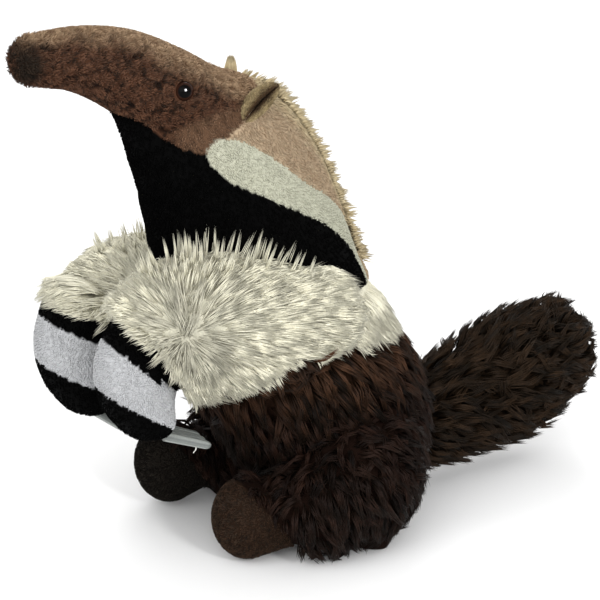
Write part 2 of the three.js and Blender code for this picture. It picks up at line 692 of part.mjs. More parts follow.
function addHindLegs(blockers) {
  const bed = LOCK_BEDS.leg;
  const grown = [];
  for (const side of SIDE_NAMES) {
    const random = seeded(bed.seeds[side]);
    const form = thighCore(side);
    const thighGrown = thighCore(side, GAP).solid();
    const roots = form.roots(bed, BODY_PILE.spacing, random).filter(({ point }) =>
      point.z > LOCK_FLOOR
      && !trunkCore().holds(point, bed.body)
      && !footForm(side).holds(point, bed.foot));
    const locks = locksOn(roots, BODY_PILE, () => DOWN_COAT, random);
    const leg = furred(form.solid(), thighGrown, locks, [...blockers, ...grown]);
    addPiece(`hind_leg_${side}`, leg.solid, 'brownPile');
    addPiece(`hind_foot_${side}`, overFloor(footForm(side).solid().subtract(thighGrown)), 'darkPlush');
    grown.push(leg.grown);
  }
  return grown;
}

function addTail(blockers) {
  const bed = LOCK_BEDS.tail;
  const random = seeded(bed.seed);
  const form = tailCore();
  const roots = form.roots(bed, TAIL_PILE.spacing, random)
    .filter(({ point }) => !trunkCore().holds(point, bed.body));
  const locks = locksOn(roots, TAIL_PILE, ({ along }) => along, random);
  addPiece('tail', furred(form.solid(), form.solid(), locks, blockers).solid, 'brownPile');
}

addHead();
SIDE_NAMES.forEach(addForepaw);
const paws = pawsGrown();
const sleeves = addSleeves(paws);
const shoulders = addShoulders(paws, sleeves);
addNeck(joined([shoulders, ...sleeves]));
const thighsClear = [paws, ...sleeves, shoulders];
const torso = addTorso([...thighsClear, feetGrown]);
const legs = addHindLegs([...thighsClear, torso, feetGrown]);
addTail([torso, ...legs]);

export default group;
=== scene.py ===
"""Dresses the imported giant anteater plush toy: one sewn skin, short plush, long pile, a mane, eyes, ears and claws."""

import math

import bpy
import numpy as np
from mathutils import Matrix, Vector
from mathutils.bvhtree import BVHTree


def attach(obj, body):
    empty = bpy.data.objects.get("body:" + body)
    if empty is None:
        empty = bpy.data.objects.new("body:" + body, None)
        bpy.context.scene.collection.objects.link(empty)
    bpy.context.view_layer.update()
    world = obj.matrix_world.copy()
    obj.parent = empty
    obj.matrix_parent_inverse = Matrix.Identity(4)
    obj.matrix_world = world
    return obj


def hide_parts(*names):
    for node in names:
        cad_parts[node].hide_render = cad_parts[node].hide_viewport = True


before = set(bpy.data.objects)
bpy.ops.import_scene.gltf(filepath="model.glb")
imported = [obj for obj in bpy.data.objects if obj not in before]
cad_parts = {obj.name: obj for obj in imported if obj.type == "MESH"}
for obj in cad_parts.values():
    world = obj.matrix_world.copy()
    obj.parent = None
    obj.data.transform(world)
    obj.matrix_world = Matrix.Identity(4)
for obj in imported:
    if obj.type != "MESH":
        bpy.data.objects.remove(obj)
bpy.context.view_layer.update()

# Sizes are in millimetres, in the part's own frame: the toy faces -y, its left is +x and it sits on z = 0.
MM = 0.001

# Forms of the toy, as in its solids. A station is x, y, z of the middle, then the half width and half depth out to
# the tips of the pile
TRUNK = [
    (0, 8, 22, 44, 44), (0, 2, 48, 56, 55), (0, -18, 87, 60, 57), (0, -38, 124, 58, 56),
    (0, -48.5, 160, 50, 53.5), (0, -58, 192, 43, 50), (0, -72, 218.5, 35, 45), (0, -88, 236.3, 27, 35),
]
THROAT = [(0, -92, 206.5, 20, 20), (0, -97.7, 228, 20, 20), (0, -107, 251, 14, 19)]
HEAD = [
    (0, -56, 228, 20, 20), (0, -77, 239.5, 24, 24), (0, -98.5, 254.5, 24.5, 23.5),
    (0, -120, 268, 21, 21), (0, -142.5, 276.5, 16, 17), (0, -165.5, 279.5, 12, 13.5),
]
THIGH = [(48, 5, 39, 24.5, 34.5), (55, -11, 41, 29, 37.5), (49, -38, 28, 28, 30), (39, -53, 22, 22, 22)]
FOOT = [(40, -52, 23, 20, 19), (37, -69, 23.5, 20, 23.5)]
FORELEG = [
    (50, -34, 140, 26, 26), (45, -60, 137.5, 33.5, 38), (39, -107.5, 141, 34.5, 41), (29, -120.5, 128, 25, 33.5),
]
PAW = [
    (33, -117.5, 140, 22.5, 22), (28, -126.5, 119.5, 24, 23), (26, -127, 103, 24, 20), (26, -123, 88, 26, 14.5),
]
TAIL = [(0, 58, 40, 23, 30.5), (-3, 92, 45, 26, 34), (-6, 122, 51, 28, 38), (-8, 150, 60.5, 23, 31)]
SIDES = {"left": 1, "right": -1}
SETTLE = {
    "left": {"thigh": (0, 0, 0), "foot": (0, 0, 0), "foreleg": (0, 0, 0), "paw": (0, 0, 0)},
    "right": {"thigh": (2, 2, -9), "foot": (4, -9, 2), "foreleg": (0, 3, -17), "paw": (0, -10, -4.5)},
}

# Seams. One across the body is a plane: its height at y = 0 and its fall towards +y. The others are lines of y, z
BROWN_SEAM = (114, 0.2)
CREAM_SEAM = (141, 0.19)
HEAD_SEAM = [
    (-136, 234), (-127.5, 247), (-118, 245), (-111, 240), (-104.5, 234), (-97, 229.5), (-88, 226.5),
    (-81, 229), (-73, 235), (-64.5, 240), (-54, 246), (-46, 254), (-36, 268),
]
STRIPE = [
    (-81.5, 226.5, 4.5), (-78, 225, 7.8), (-70, 220.5, 10.5), (-55, 211, 9.5), (-38, 199, 7.5),
    (-20, 187, 6.5), (-5, 172.5, 5.6), (4, 157, 3.6), (8, 142, 1.6), (9, 130, 1.2),
]
STRIPE_ROOT = 12
# The fold of the cheek, as a line of y, z. A line of painted shade runs along it
FOLD = [(-106, 238), (-92, 244.5), (-82.4, 247.4), (-73, 248.6), (-63.5, 249.2), (-50, 250)]
# The seams across each forepaw, from the hem of its sleeve down: each is square to a direction so many degrees
# forward of straight down, at a distance along it from the origin
PAW_SEAMS = {
    "left": {"hem": (54.5, 24.7), "band": (44.5, 4.6), "toe": (30.5, -18.5)},
    "right": {"hem": (19.5, -79.7), "band": (26, -48.9), "toe": (26, -25.9)},
}
FOOT_LINE = np.array([0, -1, -0.68]) / math.hypot(1, 0.68)
FOOT_HEM = 36

# The long pile of a limb hangs over its paw or foot down to a hem. The limb's own skin sinks past it
ENDS = {"foreleg": "paw", "thigh": "foot"}
HEM_REACH = 12
HEM_EASE = {"left": (1.3, 0.97), "right": (1.75, 1.0)}
HEM_FADE = 4
HEM_SINK = 2

# The back edge of the cream pile under each sleeve, as a line of y, z. The brown pile runs on below it
SLEEVE_EDGE = [(-100, 95), (-91, 104), (-75, 113), (-58, 126), (-45, 119), (0, 108), (20, 104)]
# The palm side of each forepaw is white down to the claws: past a plane, from a height above the white band
PALM = {"facing": (0.47, 0.883, 0), "distance": -83, "height": 105, "slant": 0.19, "above": 3}
NOSTRIL = ((8.4, -165, 286.5), (5.8, -161, 289))
EYE = {"x": 21.4, "y": -95.3, "z": 259, "radius": 5.05}
EAR = {"root": (20, -54.5, 242.5), "out": (0.84, -0.1, 0.52), "along": (0, 0.78, 0.62)}
CLAWS = {
    "left": {"root": (35, -119, 83.4), "heading": (0.22, 0.9, -0.32)},
    "right": {"root": (-20, -137, 81.5), "heading": (0, 0.77, -0.64)},
}
CLAW = {"length": 24, "spacing": 6.5, "half_width": 3.1, "half_thick": 2.8, "count": 3}

# Coats. The skin lies `depth` below the tips
PLUSH_DEPTH = 1.1
CREAM_DEPTH = 3.5
BODY_DEPTH = 5.5
TAIL_DEPTH = 6.0
WRIST_SINK = 1.5
SLEEVE_TOP = {"sink": 4.5, "from": 158, "to": 176}
# Where the pile parts on each sleeve
WHORLS = {"left": (67, -117, 147), "right": (-12, -95, 130)}
# Painted shade on the cream pile and skin around each whorl, where the strands are seen end on: how much darker, how
# far
WHORL_SHADE = {"depth": 0.4, "reach": 17}
FLOOR_CLEAR = 0.4
SKIN_VOXEL = 2.1

# Tones of the fabrics, from the roots of the pile to its tips, as sRGB out of 255
TONES = {
    "head_dark": ((40, 23, 15), (110, 76, 57)),
    "head_light": ((96, 72, 52), (182, 156, 126)),
    "head_tip": ((10, 8, 6), (46, 39, 32)),
    "tan": ((134, 112, 88), (184, 166, 140)),
    "black": ((1, 1, 1), (5, 5, 5)),
    # The white, band and cream pile is painted lighter at its roots than at its tips: painted light that offsets the
    # shade deep in the pile
    "white": ((173, 173, 156), (163, 163, 146)),
    "band": ((176, 177, 179), (165, 166, 168)),
    "cream": ((226, 222, 202), (208, 205, 185)),
    "brown": ((7, 3, 2), (43, 27, 20)),
    # Painted light: the brown pile's tones high on the body
    "brown_painted_lit": ((12, 7, 4), (86, 58, 40)),
    "tail": ((9, 6, 3), (54, 39, 26)),
    "foot": ((20, 12, 7), (64, 46, 34)),
    # Painted shade: the far, right foot's tones, darker than the left's
    "foot_far": ((5, 4, 3), (20, 16, 12)),
    "straw": ((158, 140, 106), (208, 194, 160)),
    "olive": ((78, 62, 38), (168, 150, 112)),
    # Painted shade in the crease of each ear
    "crease": ((30, 19, 11), (74, 54, 34)),
    "satin": ((84, 88, 86), (150, 154, 150)),
}


# Arrays and curves

def linear(tone):
    """A tone out of 255 as linear light."""
    share = np.asarray(tone, float) / 255
    return np.where(share < 0.04045, share / 12.92, ((share + 0.055) / 1.055) ** 2.4)


def unit(rows):
    return rows / np.maximum(np.linalg.norm(rows, axis=-1, keepdims=True), 1e-9)


def dots(a, b):
    return (a * b).sum(-1)


def smooth(low, high, values):
    share = np.clip((values - low) / (high - low), 0, 1)
    return share * share * (3 - 2 * share)


def mixed(a, b, share):
    return a + (b - a) * share[..., None]


def mottled(points, size, seed=3):
    """Soft random blotches about `size` apart, around 0 and mostly within 0.5 of it."""
    rng = np.random.default_rng(seed)
    waves = unit(rng.normal(0, 1, (24, 3))) * 2 * math.pi / (size * rng.uniform(1.4, 2.6, (24, 1)))
    return np.cos(points @ waves.T + rng.uniform(0, 2 * math.pi, 24)).sum(1) / math.sqrt(24) / 2


def catmull(rows, place):
    """Rows smoothed by a uniform Catmull-Rom curve, at places from 0 to 1."""
    rows = np.asarray(rows, float)
    knots = np.vstack([2 * rows[0] - rows[1], rows, 2 * rows[-1] - rows[-2]])
    at = np.clip(place, 0, 1) * (len(rows) - 1)
    span = np.minimum(at.astype(int), len(rows) - 2)
    t = (at - span)[:, None]
    a, b, c, d = (knots[span + k] for k in range(4))
    return b + 0.5 * t * (c - a + t * (2 * a - 5 * b + 4 * c - d + t * (3 * (b - c) + d - a)))


class Form:
    """A form smoothed through its stations. Place 0 to 1 runs between its end stations, and 1 more over each dome."""

    CUTS = 41
    STEP = 0.002

    def __init__(self, stations, start=1.0, end=1.0):
        self.rows = np.array(stations, float)
        self.domes = (start, end)
        self.cuts = self.section(np.linspace(0, 1, self.CUTS))

    def section(self, place):
        t = np.clip(place, 0, 1)
        rows = catmull(self.rows, t)
        forward = unit(catmull(self.rows[:, :3], t + self.STEP) - catmull(self.rows[:, :3], t - self.STEP))
        side = unit(np.array([1.0, 0, 0]) - forward * forward[:, :1])
        turn = (place - t) * math.pi / 2
        reach = np.sin(turn) * np.where(turn < 0, *self.domes) * rows[:, 3:].min(1)
        middle = rows[:, :3] + forward * reach[:, None]
        return middle, forward, side, np.cross(forward, side), rows[:, 3:] * np.cos(turn)[:, None]

    def point(self, place, angle):
        middle, _, side, up, size = self.section(place)
        return middle + side * (np.cos(angle) * size[:, 0])[:, None] + up * (np.sin(angle) * size[:, 1])[:, None]

    def root(self, place, angle):
        """The point on the form, the way out of it and the way along it."""
        step = self.STEP * 5
        along = unit(self.point(place + step, angle) - self.point(place - step, angle))
        round_it = self.point(place, angle + step) - self.point(place, angle - step)
        return self.point(place, angle), unit(np.cross(round_it, along)), along

    def share(self, points, height=0.0):
        """How far out each point lies, where 1 is on the form grown by a height, and the middle it is measured from."""
        middle, forward, side, up, size = self.cuts
        ahead = np.abs(points @ forward.T - dots(middle, forward))
        k = ahead.argmin(1)
        away = points - middle[k]
        size = size[k] + np.reshape(height, (-1, 1))
        parts = [dots(away, side[k]) / size[:, 0], dots(away, up[k]) / size[:, 1], dots(away, forward[k]) / size.min(1)]
        return np.sqrt(sum(part ** 2 for part in parts)), middle[k]

    def laid(self, points, height):
        """The points moved away from the form's middle, or towards it, to lie at a height over the form."""
        share, middle = self.share(points, height)
        return middle + (points - middle) / np.maximum(share, 0.05)[:, None]

    def grid(self, sides, rings, depth=0.0):
        """Points and faces of the whole form, closed at its ends, at a depth below it."""
        place = np.repeat(np.linspace(-0.98, 1.98, rings), sides)
        angle = np.tile(np.arange(sides) * 2 * math.pi / sides, rings)
        points, out, _ = self.root(place, angle)
        depth = depth(points) if callable(depth) else np.full(len(points), depth)
        faces = []
        for r in range(rings - 1):
            for k in range(sides):
                j = (k + 1) % sides
                faces.append((r * sides + k, r * sides + j, (r + 1) * sides + j, (r + 1) * sides + k))
        faces.append(tuple(range(sides - 1, -1, -1)))
        faces.append(tuple(range((rings - 1) * sides, rings * sides)))
        return points - out * depth[:, None], faces

    def scatter(self, spacing, rng, low=-0.95, high=1.95):
        """Places and angles in staggered rings that lie about `spacing` apart, each moved a little at random."""
        line = self.point(np.linspace(low, high, 200), np.full(200, 0.8))
        length = np.concatenate([[0], np.linalg.norm(np.diff(line, axis=0), axis=1).cumsum()])
        rows = max(2, round(length[-1] / spacing))
        at = np.interp((np.arange(rows) + 0.5) / rows * length[-1], length, np.linspace(low, high, 200))
        places, angles = [], []
        for row, place in enumerate(at):
            ring = self.point(np.full(25, place), np.linspace(0, 2 * math.pi, 25))
            girth = np.linalg.norm(np.diff(ring, axis=0), axis=1).sum()
            count = max(3, round(girth / spacing))
            angles.append((np.arange(count) + 0.5 * (row % 2) + rng.uniform(-0.4, 0.4, count)) * 2 * math.pi / count)
            places.append(place + rng.uniform(-0.4, 0.4, count) * (high - low) / rows)
        return np.concatenate(places), np.concatenate(angles)


def placed(stations, side, shift):
    dx, dy, dz = shift
    return [(SIDES[side] * (x + dx), y + dy, z + dz, *size) for x, y, z, *size in stations]


# The forms by name; each has a cell of the coats' shared unwrap
FORMS = {
    "trunk": Form(TRUNK, 0.6, 0.5), "throat": Form(THROAT, 0.5, 0.3), "head": Form(HEAD, 1.0, 1.15),
    "tail": Form(TAIL),
}
for SIDE in SIDES:
    FORMS[f"foreleg_{SIDE}"] = Form(placed(FORELEG, SIDE, SETTLE[SIDE]["foreleg"]), 0.5)
    FORMS[f"paw_{SIDE}"] = Form(placed(PAW, SIDE, SETTLE[SIDE]["paw"]), 0.3, 0.45)
    FORMS[f"thigh_{SIDE}"] = Form(placed(THIGH, SIDE, SETTLE[SIDE]["thigh"]))
    FORMS[f"foot_{SIDE}"] = Form(placed(FOOT, SIDE, SETTLE[SIDE]["foot"]))
DEPTHS = {"head": PLUSH_DEPTH, "throat": PLUSH_DEPTH, "tail": TAIL_DEPTH, "foreleg": CREAM_DEPTH, "paw": PLUSH_DEPTH,
          "thigh": BODY_DEPTH, "foot": PLUSH_DEPTH}


def over_seam(points, seam):
    """How far points are above a seam plane."""
    height, fall = seam
    return (points[:, 2] + fall * points[:, 1] - height) / math.hypot(fall, 1)


def paw_place(points, side, seam):
    """How far down a forepaw points lie, past one of the seams across it."""
    forward, distance = PAW_SEAMS[side][seam]
    angle = math.radians(forward)
    return points @ np.array([0, -math.sin(angle), -math.cos(angle)]) - distance


def past_hem(points, part, side):
    """How far points lie past the hem of a limb's long pile."""
    if part in ("foreleg", "paw"):
        return paw_place(points, side, "hem")
    return (points - np.array(SETTLE[side]["foot"])) @ FOOT_LINE - FOOT_HEM


def under_sleeve(points, side):
    """How far points of a foreleg lie below the back edge of its cream pile."""
    return -above_line(points - np.array(SETTLE[side]["foreleg"]), SLEEVE_EDGE)


def cut_at_hem(name, points):
    """Points of a limb's skin, with those past its hem moved back to it where its paw or foot comes out."""
    part, _, side = name.partition("_")
    if part not in ENDS:
        return points
    near = smooth(*HEM_EASE[side], FORMS[f"{ENDS[part]}_{side}"].share(points, HEM_REACH)[0])
    past = np.maximum(past_hem(points, part, side), 0) * near
    angle = math.radians(PAW_SEAMS[side]["hem"][0])
    down = np.array([0, -math.sin(angle), -math.cos(angle)]) if part == "foreleg" else FOOT_LINE
    return points - past[:, None] * down


def beside_end(name, points):
    """Whether points of a limb lie too far beside its paw or foot for its hem to end them."""
    part, _, side = name.partition("_")
    if part not in ENDS:
        return np.zeros(len(points), bool)
    return FORMS[f"{ENDS[part]}_{side}"].share(points, HEM_REACH)[0] > 1


def under_hem(name, points):
    """How far points of a limb lie past its hem over its paw or foot, or points of a foot short of it."""
    part, _, side = name.partition("_")
    if part == "foot":
        return -past_hem(points, "thigh", side)
    if part in ENDS:
        return np.where(beside_end(name, points), -1, past_hem(points, part, side))
    return np.full(len(points), -1.0)


def on_top(points, side):
    """How far points lie on top of a sleeve, from 0 to 1. The pile there stands on end over a lower surface."""
    return smooth(SLEEVE_TOP["from"], SLEEVE_TOP["to"], points[:, 2] - SETTLE[side]["foreleg"][2])


def depth_of(name, points):
    """How deep the skin lies below the tips of the coat. It sinks where another form takes over at a hem."""
    part, _, side = name.partition("_")
    if part == "trunk":
        above = smooth(-4, 3, over_seam(points, CREAM_SEAM))
        return BODY_DEPTH + (PLUSH_DEPTH - BODY_DEPTH) * above
    if part == "paw":
        return PLUSH_DEPTH + WRIST_SINK * smooth(0, 4, -past_hem(points, part, side))
    top = SLEEVE_TOP["sink"] * on_top(points, side) if part == "foreleg" else 0
    return DEPTHS[part] + top + HEM_SINK * smooth(0, HEM_FADE, under_hem(name, points))


def hidden(points, name, margin):
    """Whether a point on one form lies past its own hem, or inside another form."""
    inside = (under_hem(name, points) > 0) & (not name.startswith("foot"))
    for other, form in FORMS.items():
        if other != name:
            depth = depth_of(other, points)
            inside |= (under_hem(other, points) < 0) & (form.share(points, -depth - margin)[0] < 1)
    return inside


# Markings

def above_line(points, line):
    """How far above a line of y, z points are, seen from the side."""
    line = np.array(line)
    return points[:, 2] - np.interp(points[:, 1], line[:, 0], line[:, 1])


def from_segment(points, start, end):
    """The distance of points from a straight line between two points, on either side of the toy."""
    folded = np.stack([np.abs(points[:, 0]), points[:, 1], points[:, 2]], 1)
    start, end = np.array(start, float), np.array(end, float)
    share = np.clip((folded - start) @ (end - start) / dots(end - start, end - start), 0, 1)
    return np.linalg.norm(folded - start - share[:, None] * (end - start), axis=1)


def from_stripe(points):
    """The distance to the white stripe's edge, below 0 inside, and whether a point is behind its middle line."""
    line = catmull(STRIPE, np.linspace(0, 1, 60))
    flat = points[:, 1:]
    away = flat[:, None] - line[None, :, :2]
    near = np.linalg.norm(away, axis=2)
    edge = (near - line[None, :, 2]).min(1)
    k = near.argmin(1)
    ahead = np.gradient(line[:, :2], axis=0)[k]
    offset = flat - line[k, :2]
    behind = ahead[:, 0] * offset[:, 1] - ahead[:, 1] * offset[:, 0] > 0
    return edge, behind & ((k > 0) | (dots(ahead, offset) > 0))


def fabric_of(name, points):
    """The name of the fabric at each point of a form."""
    part, _, side = name.partition("_")
    if part in ("trunk", "throat", "head"):
        edge, behind = from_stripe(points)
        fabric = np.where(behind, "tan", "black")
        fabric = np.where(above_line(points, HEAD_SEAM) > 0, "head", fabric)
        fabric = np.where((edge < 0) & (np.abs(points[:, 0]) > STRIPE_ROOT), "white", fabric)
        fabric = np.where(over_seam(points, CREAM_SEAM) < 0, "cream", fabric)
        return np.where(over_seam(points, BROWN_SEAM) < 0, "brown", fabric)
    if part == "paw":
        band = paw_place(points, side, "band")
        facing = points @ (np.array(PALM["facing"]) * [SIDES[side], 1, 1])
        palm = facing > PALM["distance"] + PALM["slant"] * (PALM["height"] - points[:, 2])
        banded = (band > 0) & (paw_place(points, side, "toe") < 0) | palm & (band > -PALM["above"])
        return np.where(paw_place(points, side, "hem") < 0, "cream", np.where(banded, "band", "black"))
    if part == "foot":
        # The far, right foot is painted darker than the left: painted shade
        return np.where(under_hem(name, points) < 0, "foot" if side == "left" else "foot_far", "brown")
    if part == "foreleg":
        return np.where(under_sleeve(points, side) > 0, "brown", "cream")
    return np.full(len(points), {"thigh": "brown", "tail": "tail"}[part])


def bump(low, high, values):
    """1 halfway between two values, falling to 0 at each."""
    return smooth(low, (low + high) / 2, values) * smooth(high, (low + high) / 2, values)


def tone_of(fabric, points, tone):
    """The colour of each point of one fabric. Tone 0 is at the roots of its pile and 1 at the tips."""
    if fabric == "tan":
        straw = 0.8 * smooth(24, 8, np.abs(points[:, 0]))
        return mixed(*(mixed(*linear(TONES[name]), tone) for name in ("tan", "straw")), straw)
    if fabric == "brown":
        # The brown pile is painted lighter up the body: painted light from above
        painted_light = smooth(70, 118, points[:, 2])
        return mixed(*(mixed(*linear(TONES[name]), tone) for name in ("brown", "brown_painted_lit")), painted_light)
    if fabric != "head":
        low, high = linear(TONES[fabric])
        # Painted shade darkens the cream around each whorl
        whorls = [np.linalg.norm(points - np.array(WHORLS[side]), axis=1) for side in SIDES] if fabric == "cream" else []
        shade = WHORL_SHADE["depth"] * sum(np.exp(-(away / WHORL_SHADE["reach"]) ** 2) for away in whorls)
        return mixed(low, high, tone) * (1 - np.reshape(shade, (-1, 1)))
    head = FORMS["head"]
    middle, _, _, up, size = head.cuts
    k = np.abs(points[:, 1, None] - middle[None, :, 1]).argmin(1)
    height = (points[:, 2] - middle[k, 2]) / size[k, 1]
    y = points[:, 1]
    # The top of the head is painted lighter than its sides: partly the fabric's airbrushed tone, partly painted light
    # from above
    light = smooth(0.42, 1.0, height - 0.12 * bump(-100, -58, y) + 0.1 * mottled(points, 9, 9))
    light = np.maximum(light, 0.8 * smooth(-60, -40, y))
    over_fold = above_line(points, FOLD)
    patch = smooth(0, -4, over_fold) * smooth(-106, -94, y)
    light = np.maximum(light, 0.24 * patch)
    # A dark line along the cheek's fold: painted shade in the crease
    light *= 1 - 0.8 * smooth(1.5, 0.4, np.abs(over_fold)) * smooth(-104, -98, y) * smooth(-58, -66, y)
    wrinkle = smooth(0.16, 0.03, np.abs(mottled(points, 4.2, 8))) * (1 - 0.85 * np.maximum(light, patch))
    front = smooth(1.35, 0.4, np.hypot((y + 174) / 9, (points[:, 2] - 279) / 11.5)) * (1 - 0.7 * smooth(-176, -179, y))
    tones = [linear(TONES[name]) for name in ("head_dark", "head_light", "head_tip")]
    dark, pale, tip = (mixed(low, high, tone) for low, high in tones)
    nostril = smooth(2.2, 1.3, from_segment(points, *NOSTRIL))
    colours = mixed(mixed(dark, pale, light) * (1 - 0.85 * wrinkle)[:, None], tip, 0.9 * front)
    return mixed(colours, linear((6, 5, 4)), nostril)


# Meshes

def new_object(name, points, faces, material, replaces=(), smooth_faces=True):
    """A piece of the toy, from points in millimetres."""
    mesh = bpy.data.meshes.new(name)
    mesh.from_pydata((np.asarray(points) * MM).tolist(), [], faces)
    mesh.polygons.foreach_set("use_smooth", [smooth_faces] * len(mesh.polygons))
    mesh.materials.append(material)
    piece = bpy.data.objects.new(name, mesh)
    bpy.context.scene.collection.objects.link(piece)
    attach(piece, "root")
    if replaces:
        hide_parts(*replaces)
    return piece


def paint(mesh, colours):
    """Stores a linear colour for each vertex."""
    attribute = mesh.attributes.new("Tint", "FLOAT_COLOR", "POINT")
    rows = np.ones((len(mesh.vertices), 4), np.float32)
    rows[:, :3] = colours
    attribute.data.foreach_set("color", rows.ravel())


def modified(piece):
    """The piece's mesh with its modifiers applied."""
    graph = bpy.context.evaluated_depsgraph_get()
    mesh = bpy.data.meshes.new_from_object(piece.evaluated_get(graph))
    piece.modifiers.clear()
    old = piece.data
    piece.data = mesh
    bpy.data.meshes.remove(old)
    return mesh


def vertices_of(mesh):
    rows = np.zeros(len(mesh.vertices) * 3, np.float32)
    mesh.vertices.foreach_get("co", rows)
    return rows.reshape(-1, 3).astype(float) / MM


class Coat:
    """Gathers tapered three-sided tufts, then builds them as joined meshes of at most `LIMIT` triangles."""

    LIMIT = 190000
    PATCH = 0.003

    def __init__(self, name, fabric, slot, stations):
        self.name, self.fabric, self.slot = name, fabric, slot
        self.stations = stations
        self.batches = []

    def add(self, start, bend, tip, out, width, roots, tips, uv):
        """Tufts along curves from start to tip, with linear colours of their roots and tips."""
        width = np.broadcast_to(width, len(start))
        self.batches.append((start, bend, tip, out, width, roots, tips, uv))

    def build(self):
        parts = [np.concatenate(rows) for rows in zip(*self.batches)]
        rings = len(self.stations)
        triangles = 6 * (rings - 1) + 4
        count = len(parts[0])
        pieces = max(1, math.ceil(count * triangles / self.LIMIT))
        made = []
        for index, chosen in enumerate(np.array_split(np.arange(count), pieces)):
            label = self.name if pieces == 1 else f"{self.name}_{index + 1}"
            made.append(self.build_piece(label, [part[chosen] for part in parts]))
        return made

    def build_piece(self, label, parts):
        start, bend, tip, out, width, roots, tips, uv = parts
        count = len(start)
        rows, uvs, tints = [], [], []
        for step, (place, share) in enumerate(self.stations):
            middle = start * (1 - place) ** 2 + bend * 2 * place * (1 - place) + tip * place ** 2
            tangent = unit((bend - start) * (1 - place) + (tip - bend) * place)
            across = unit(np.cross(out, tangent) + 1e-6)
            over = np.cross(tangent, across)
            half = (width * share / 2)[:, None]
            rows += [middle + across * half - over * half * 0.4, middle + over * half, middle - across * half - over * half * 0.4]
            uvs += [(step / len(self.stations), side / 3) for side in range(3)]
            tints += [mixed(roots, tips, np.full(count, place))] * 3
        rows.append(tip)
        uvs.append((1.0, 0.5))
        tints.append(tips)
        corners = len(rows)
        points = np.stack(rows, 1).reshape(-1, 3)
        points[:, 2] = np.where(points[:, 2] < 3, FLOOR_CLEAR + 2.6 * np.exp((points[:, 2] - 3) / 2.6), points[:, 2])
        faces = [(0, 1, 2)]
        for r in range(len(self.stations) - 1):
            for k in range(3):
                low, right = 3 * r + k, 3 * r + (k + 1) % 3
                faces += [(low, low + 3, right), (right, low + 3, right + 3)]
        last = corners - 4
        faces += [(last + k, corners - 1, last + (k + 1) % 3) for k in range(3)]
        faces = np.array(faces)
        corner = (faces[None] + (np.arange(count) * corners)[:, None, None]).reshape(-1)
        mesh = bpy.data.meshes.new(label)
        mesh.vertices.add(len(points))
        mesh.vertices.foreach_set("co", (points * MM).ravel().astype(np.float32))
        mesh.loops.add(len(corner))
        mesh.loops.foreach_set("vertex_index", corner.astype(np.int32))
        mesh.polygons.add(len(corner) // 3)
        mesh.polygons.foreach_set("loop_start", np.arange(0, len(corner), 3, dtype=np.int32))
        mesh.polygons.foreach_set("use_smooth", np.ones(len(corner) // 3, bool))
        mesh.update(calc_edges=True)
        paint(mesh, np.stack(tints, 1).reshape(-1, 3))
        layer = mesh.uv_layers.new(name="OFBake")
        patch = uv[:, None] + np.array(uvs)[None] * self.PATCH
        layer.data.foreach_set("uv", patch.reshape(-1, 2)[corner].astype(np.float32).ravel())
        mesh.materials.append(MATERIALS[self.fabric])
        piece = bpy.data.objects.new(label, mesh)
        bpy.context.scene.collection.objects.link(piece)
        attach(piece, "root")
        return piece


ATLAS = {name: index for index, name in enumerate(sorted(FORMS))}


def unwrapped(name, place, angle):
    """Where places of a form lie on the unwrap that all coats share: each form has a cell of a 4 by 4 sheet."""
    cell = ATLAS[name]
    u = (angle / (2 * math.pi)) % 1
    v = np.clip((place + 1) / 3, 0, 1)
    return np.stack([(cell % 4 + 0.02 + 0.94 * u) / 4, (cell // 4 + 0.02 + 0.94 * v) / 4], 1)


# Materials

def node_material(name, roughness, specular, bump, grain, sheen=0.0):
    """A fabric that takes its colour from the mesh, with grain of a size in millimetres in its bump and its tone."""
    material = bpy.data.materials.new(name)
    material.use_nodes = True
    nodes, links = material.node_tree.nodes, material.node_tree.links
    shader = nodes["Principled BSDF"]
    shader.inputs["Roughness"].default_value = roughness
    shader.inputs["Specular IOR Level"].default_value = specular
    place = nodes.new("ShaderNodeTexCoord")
    noise = nodes.new("ShaderNodeTexNoise")
    noise.inputs["Scale"].default_value = 1 / (grain * MM)
    noise.inputs["Detail"].default_value = 3.0
    links.new(place.outputs["Object"], noise.inputs["Vector"])
    shader.inputs["Sheen Weight"].default_value = sheen
    shader.inputs["Sheen Roughness"].default_value = 0.45
    shader.inputs["Sheen Tint"].default_value = (1.0, 0.82, 0.62, 1)
    colour = nodes.new("ShaderNodeAttribute")
    colour.attribute_name = "Tint"
    source = colour.outputs["Color"]
    spread = nodes.new("ShaderNodeMapRange")
    spread.inputs["To Min"].default_value = 0.7
    spread.inputs["To Max"].default_value = 1.3
    links.new(noise.outputs["Fac"], spread.inputs["Value"])
    shade = nodes.new("ShaderNodeVectorMath")
    shade.operation = "SCALE"
    links.new(source, shade.inputs[0])
    links.new(spread.outputs["Result"], shade.inputs["Scale"])
    links.new(shade.outputs["Vector"], shader.inputs["Base Color"])
    if bump > 0:
        relief = nodes.new("ShaderNodeBump")
        relief.inputs["Strength"].default_value = bump
        relief.inputs["Distance"].default_value = grain * MM
        links.new(noise.outputs["Fac"], relief.inputs["Height"])
        links.new(relief.outputs["Normal"], shader.inputs["Normal"])
    return material


MATERIALS = {
    "skin": node_material("plush_backing", 0.95, 0.05, 0.6, 1.2),
    "short": node_material("short_plush", 0.85, 0.1, 0.0, 2.5, 0.04),
    "black": node_material("black_plush", 0.9, 0.03, 0.0, 2.5),
    "long": node_material("long_pile", 0.6, 0.2, 0.0, 9.0),
    "dark": node_material("dark_pile", 0.5, 0.08, 0.0, 9.0, 0.01),
    "satin": node_material("claw_satin", 0.38, 0.4, 0.25, 0.7),
}


# The skin

SKIN_TONE = {"white": 0.6, "band": 0.6, "tan": 0.5, "cream": 0.6}


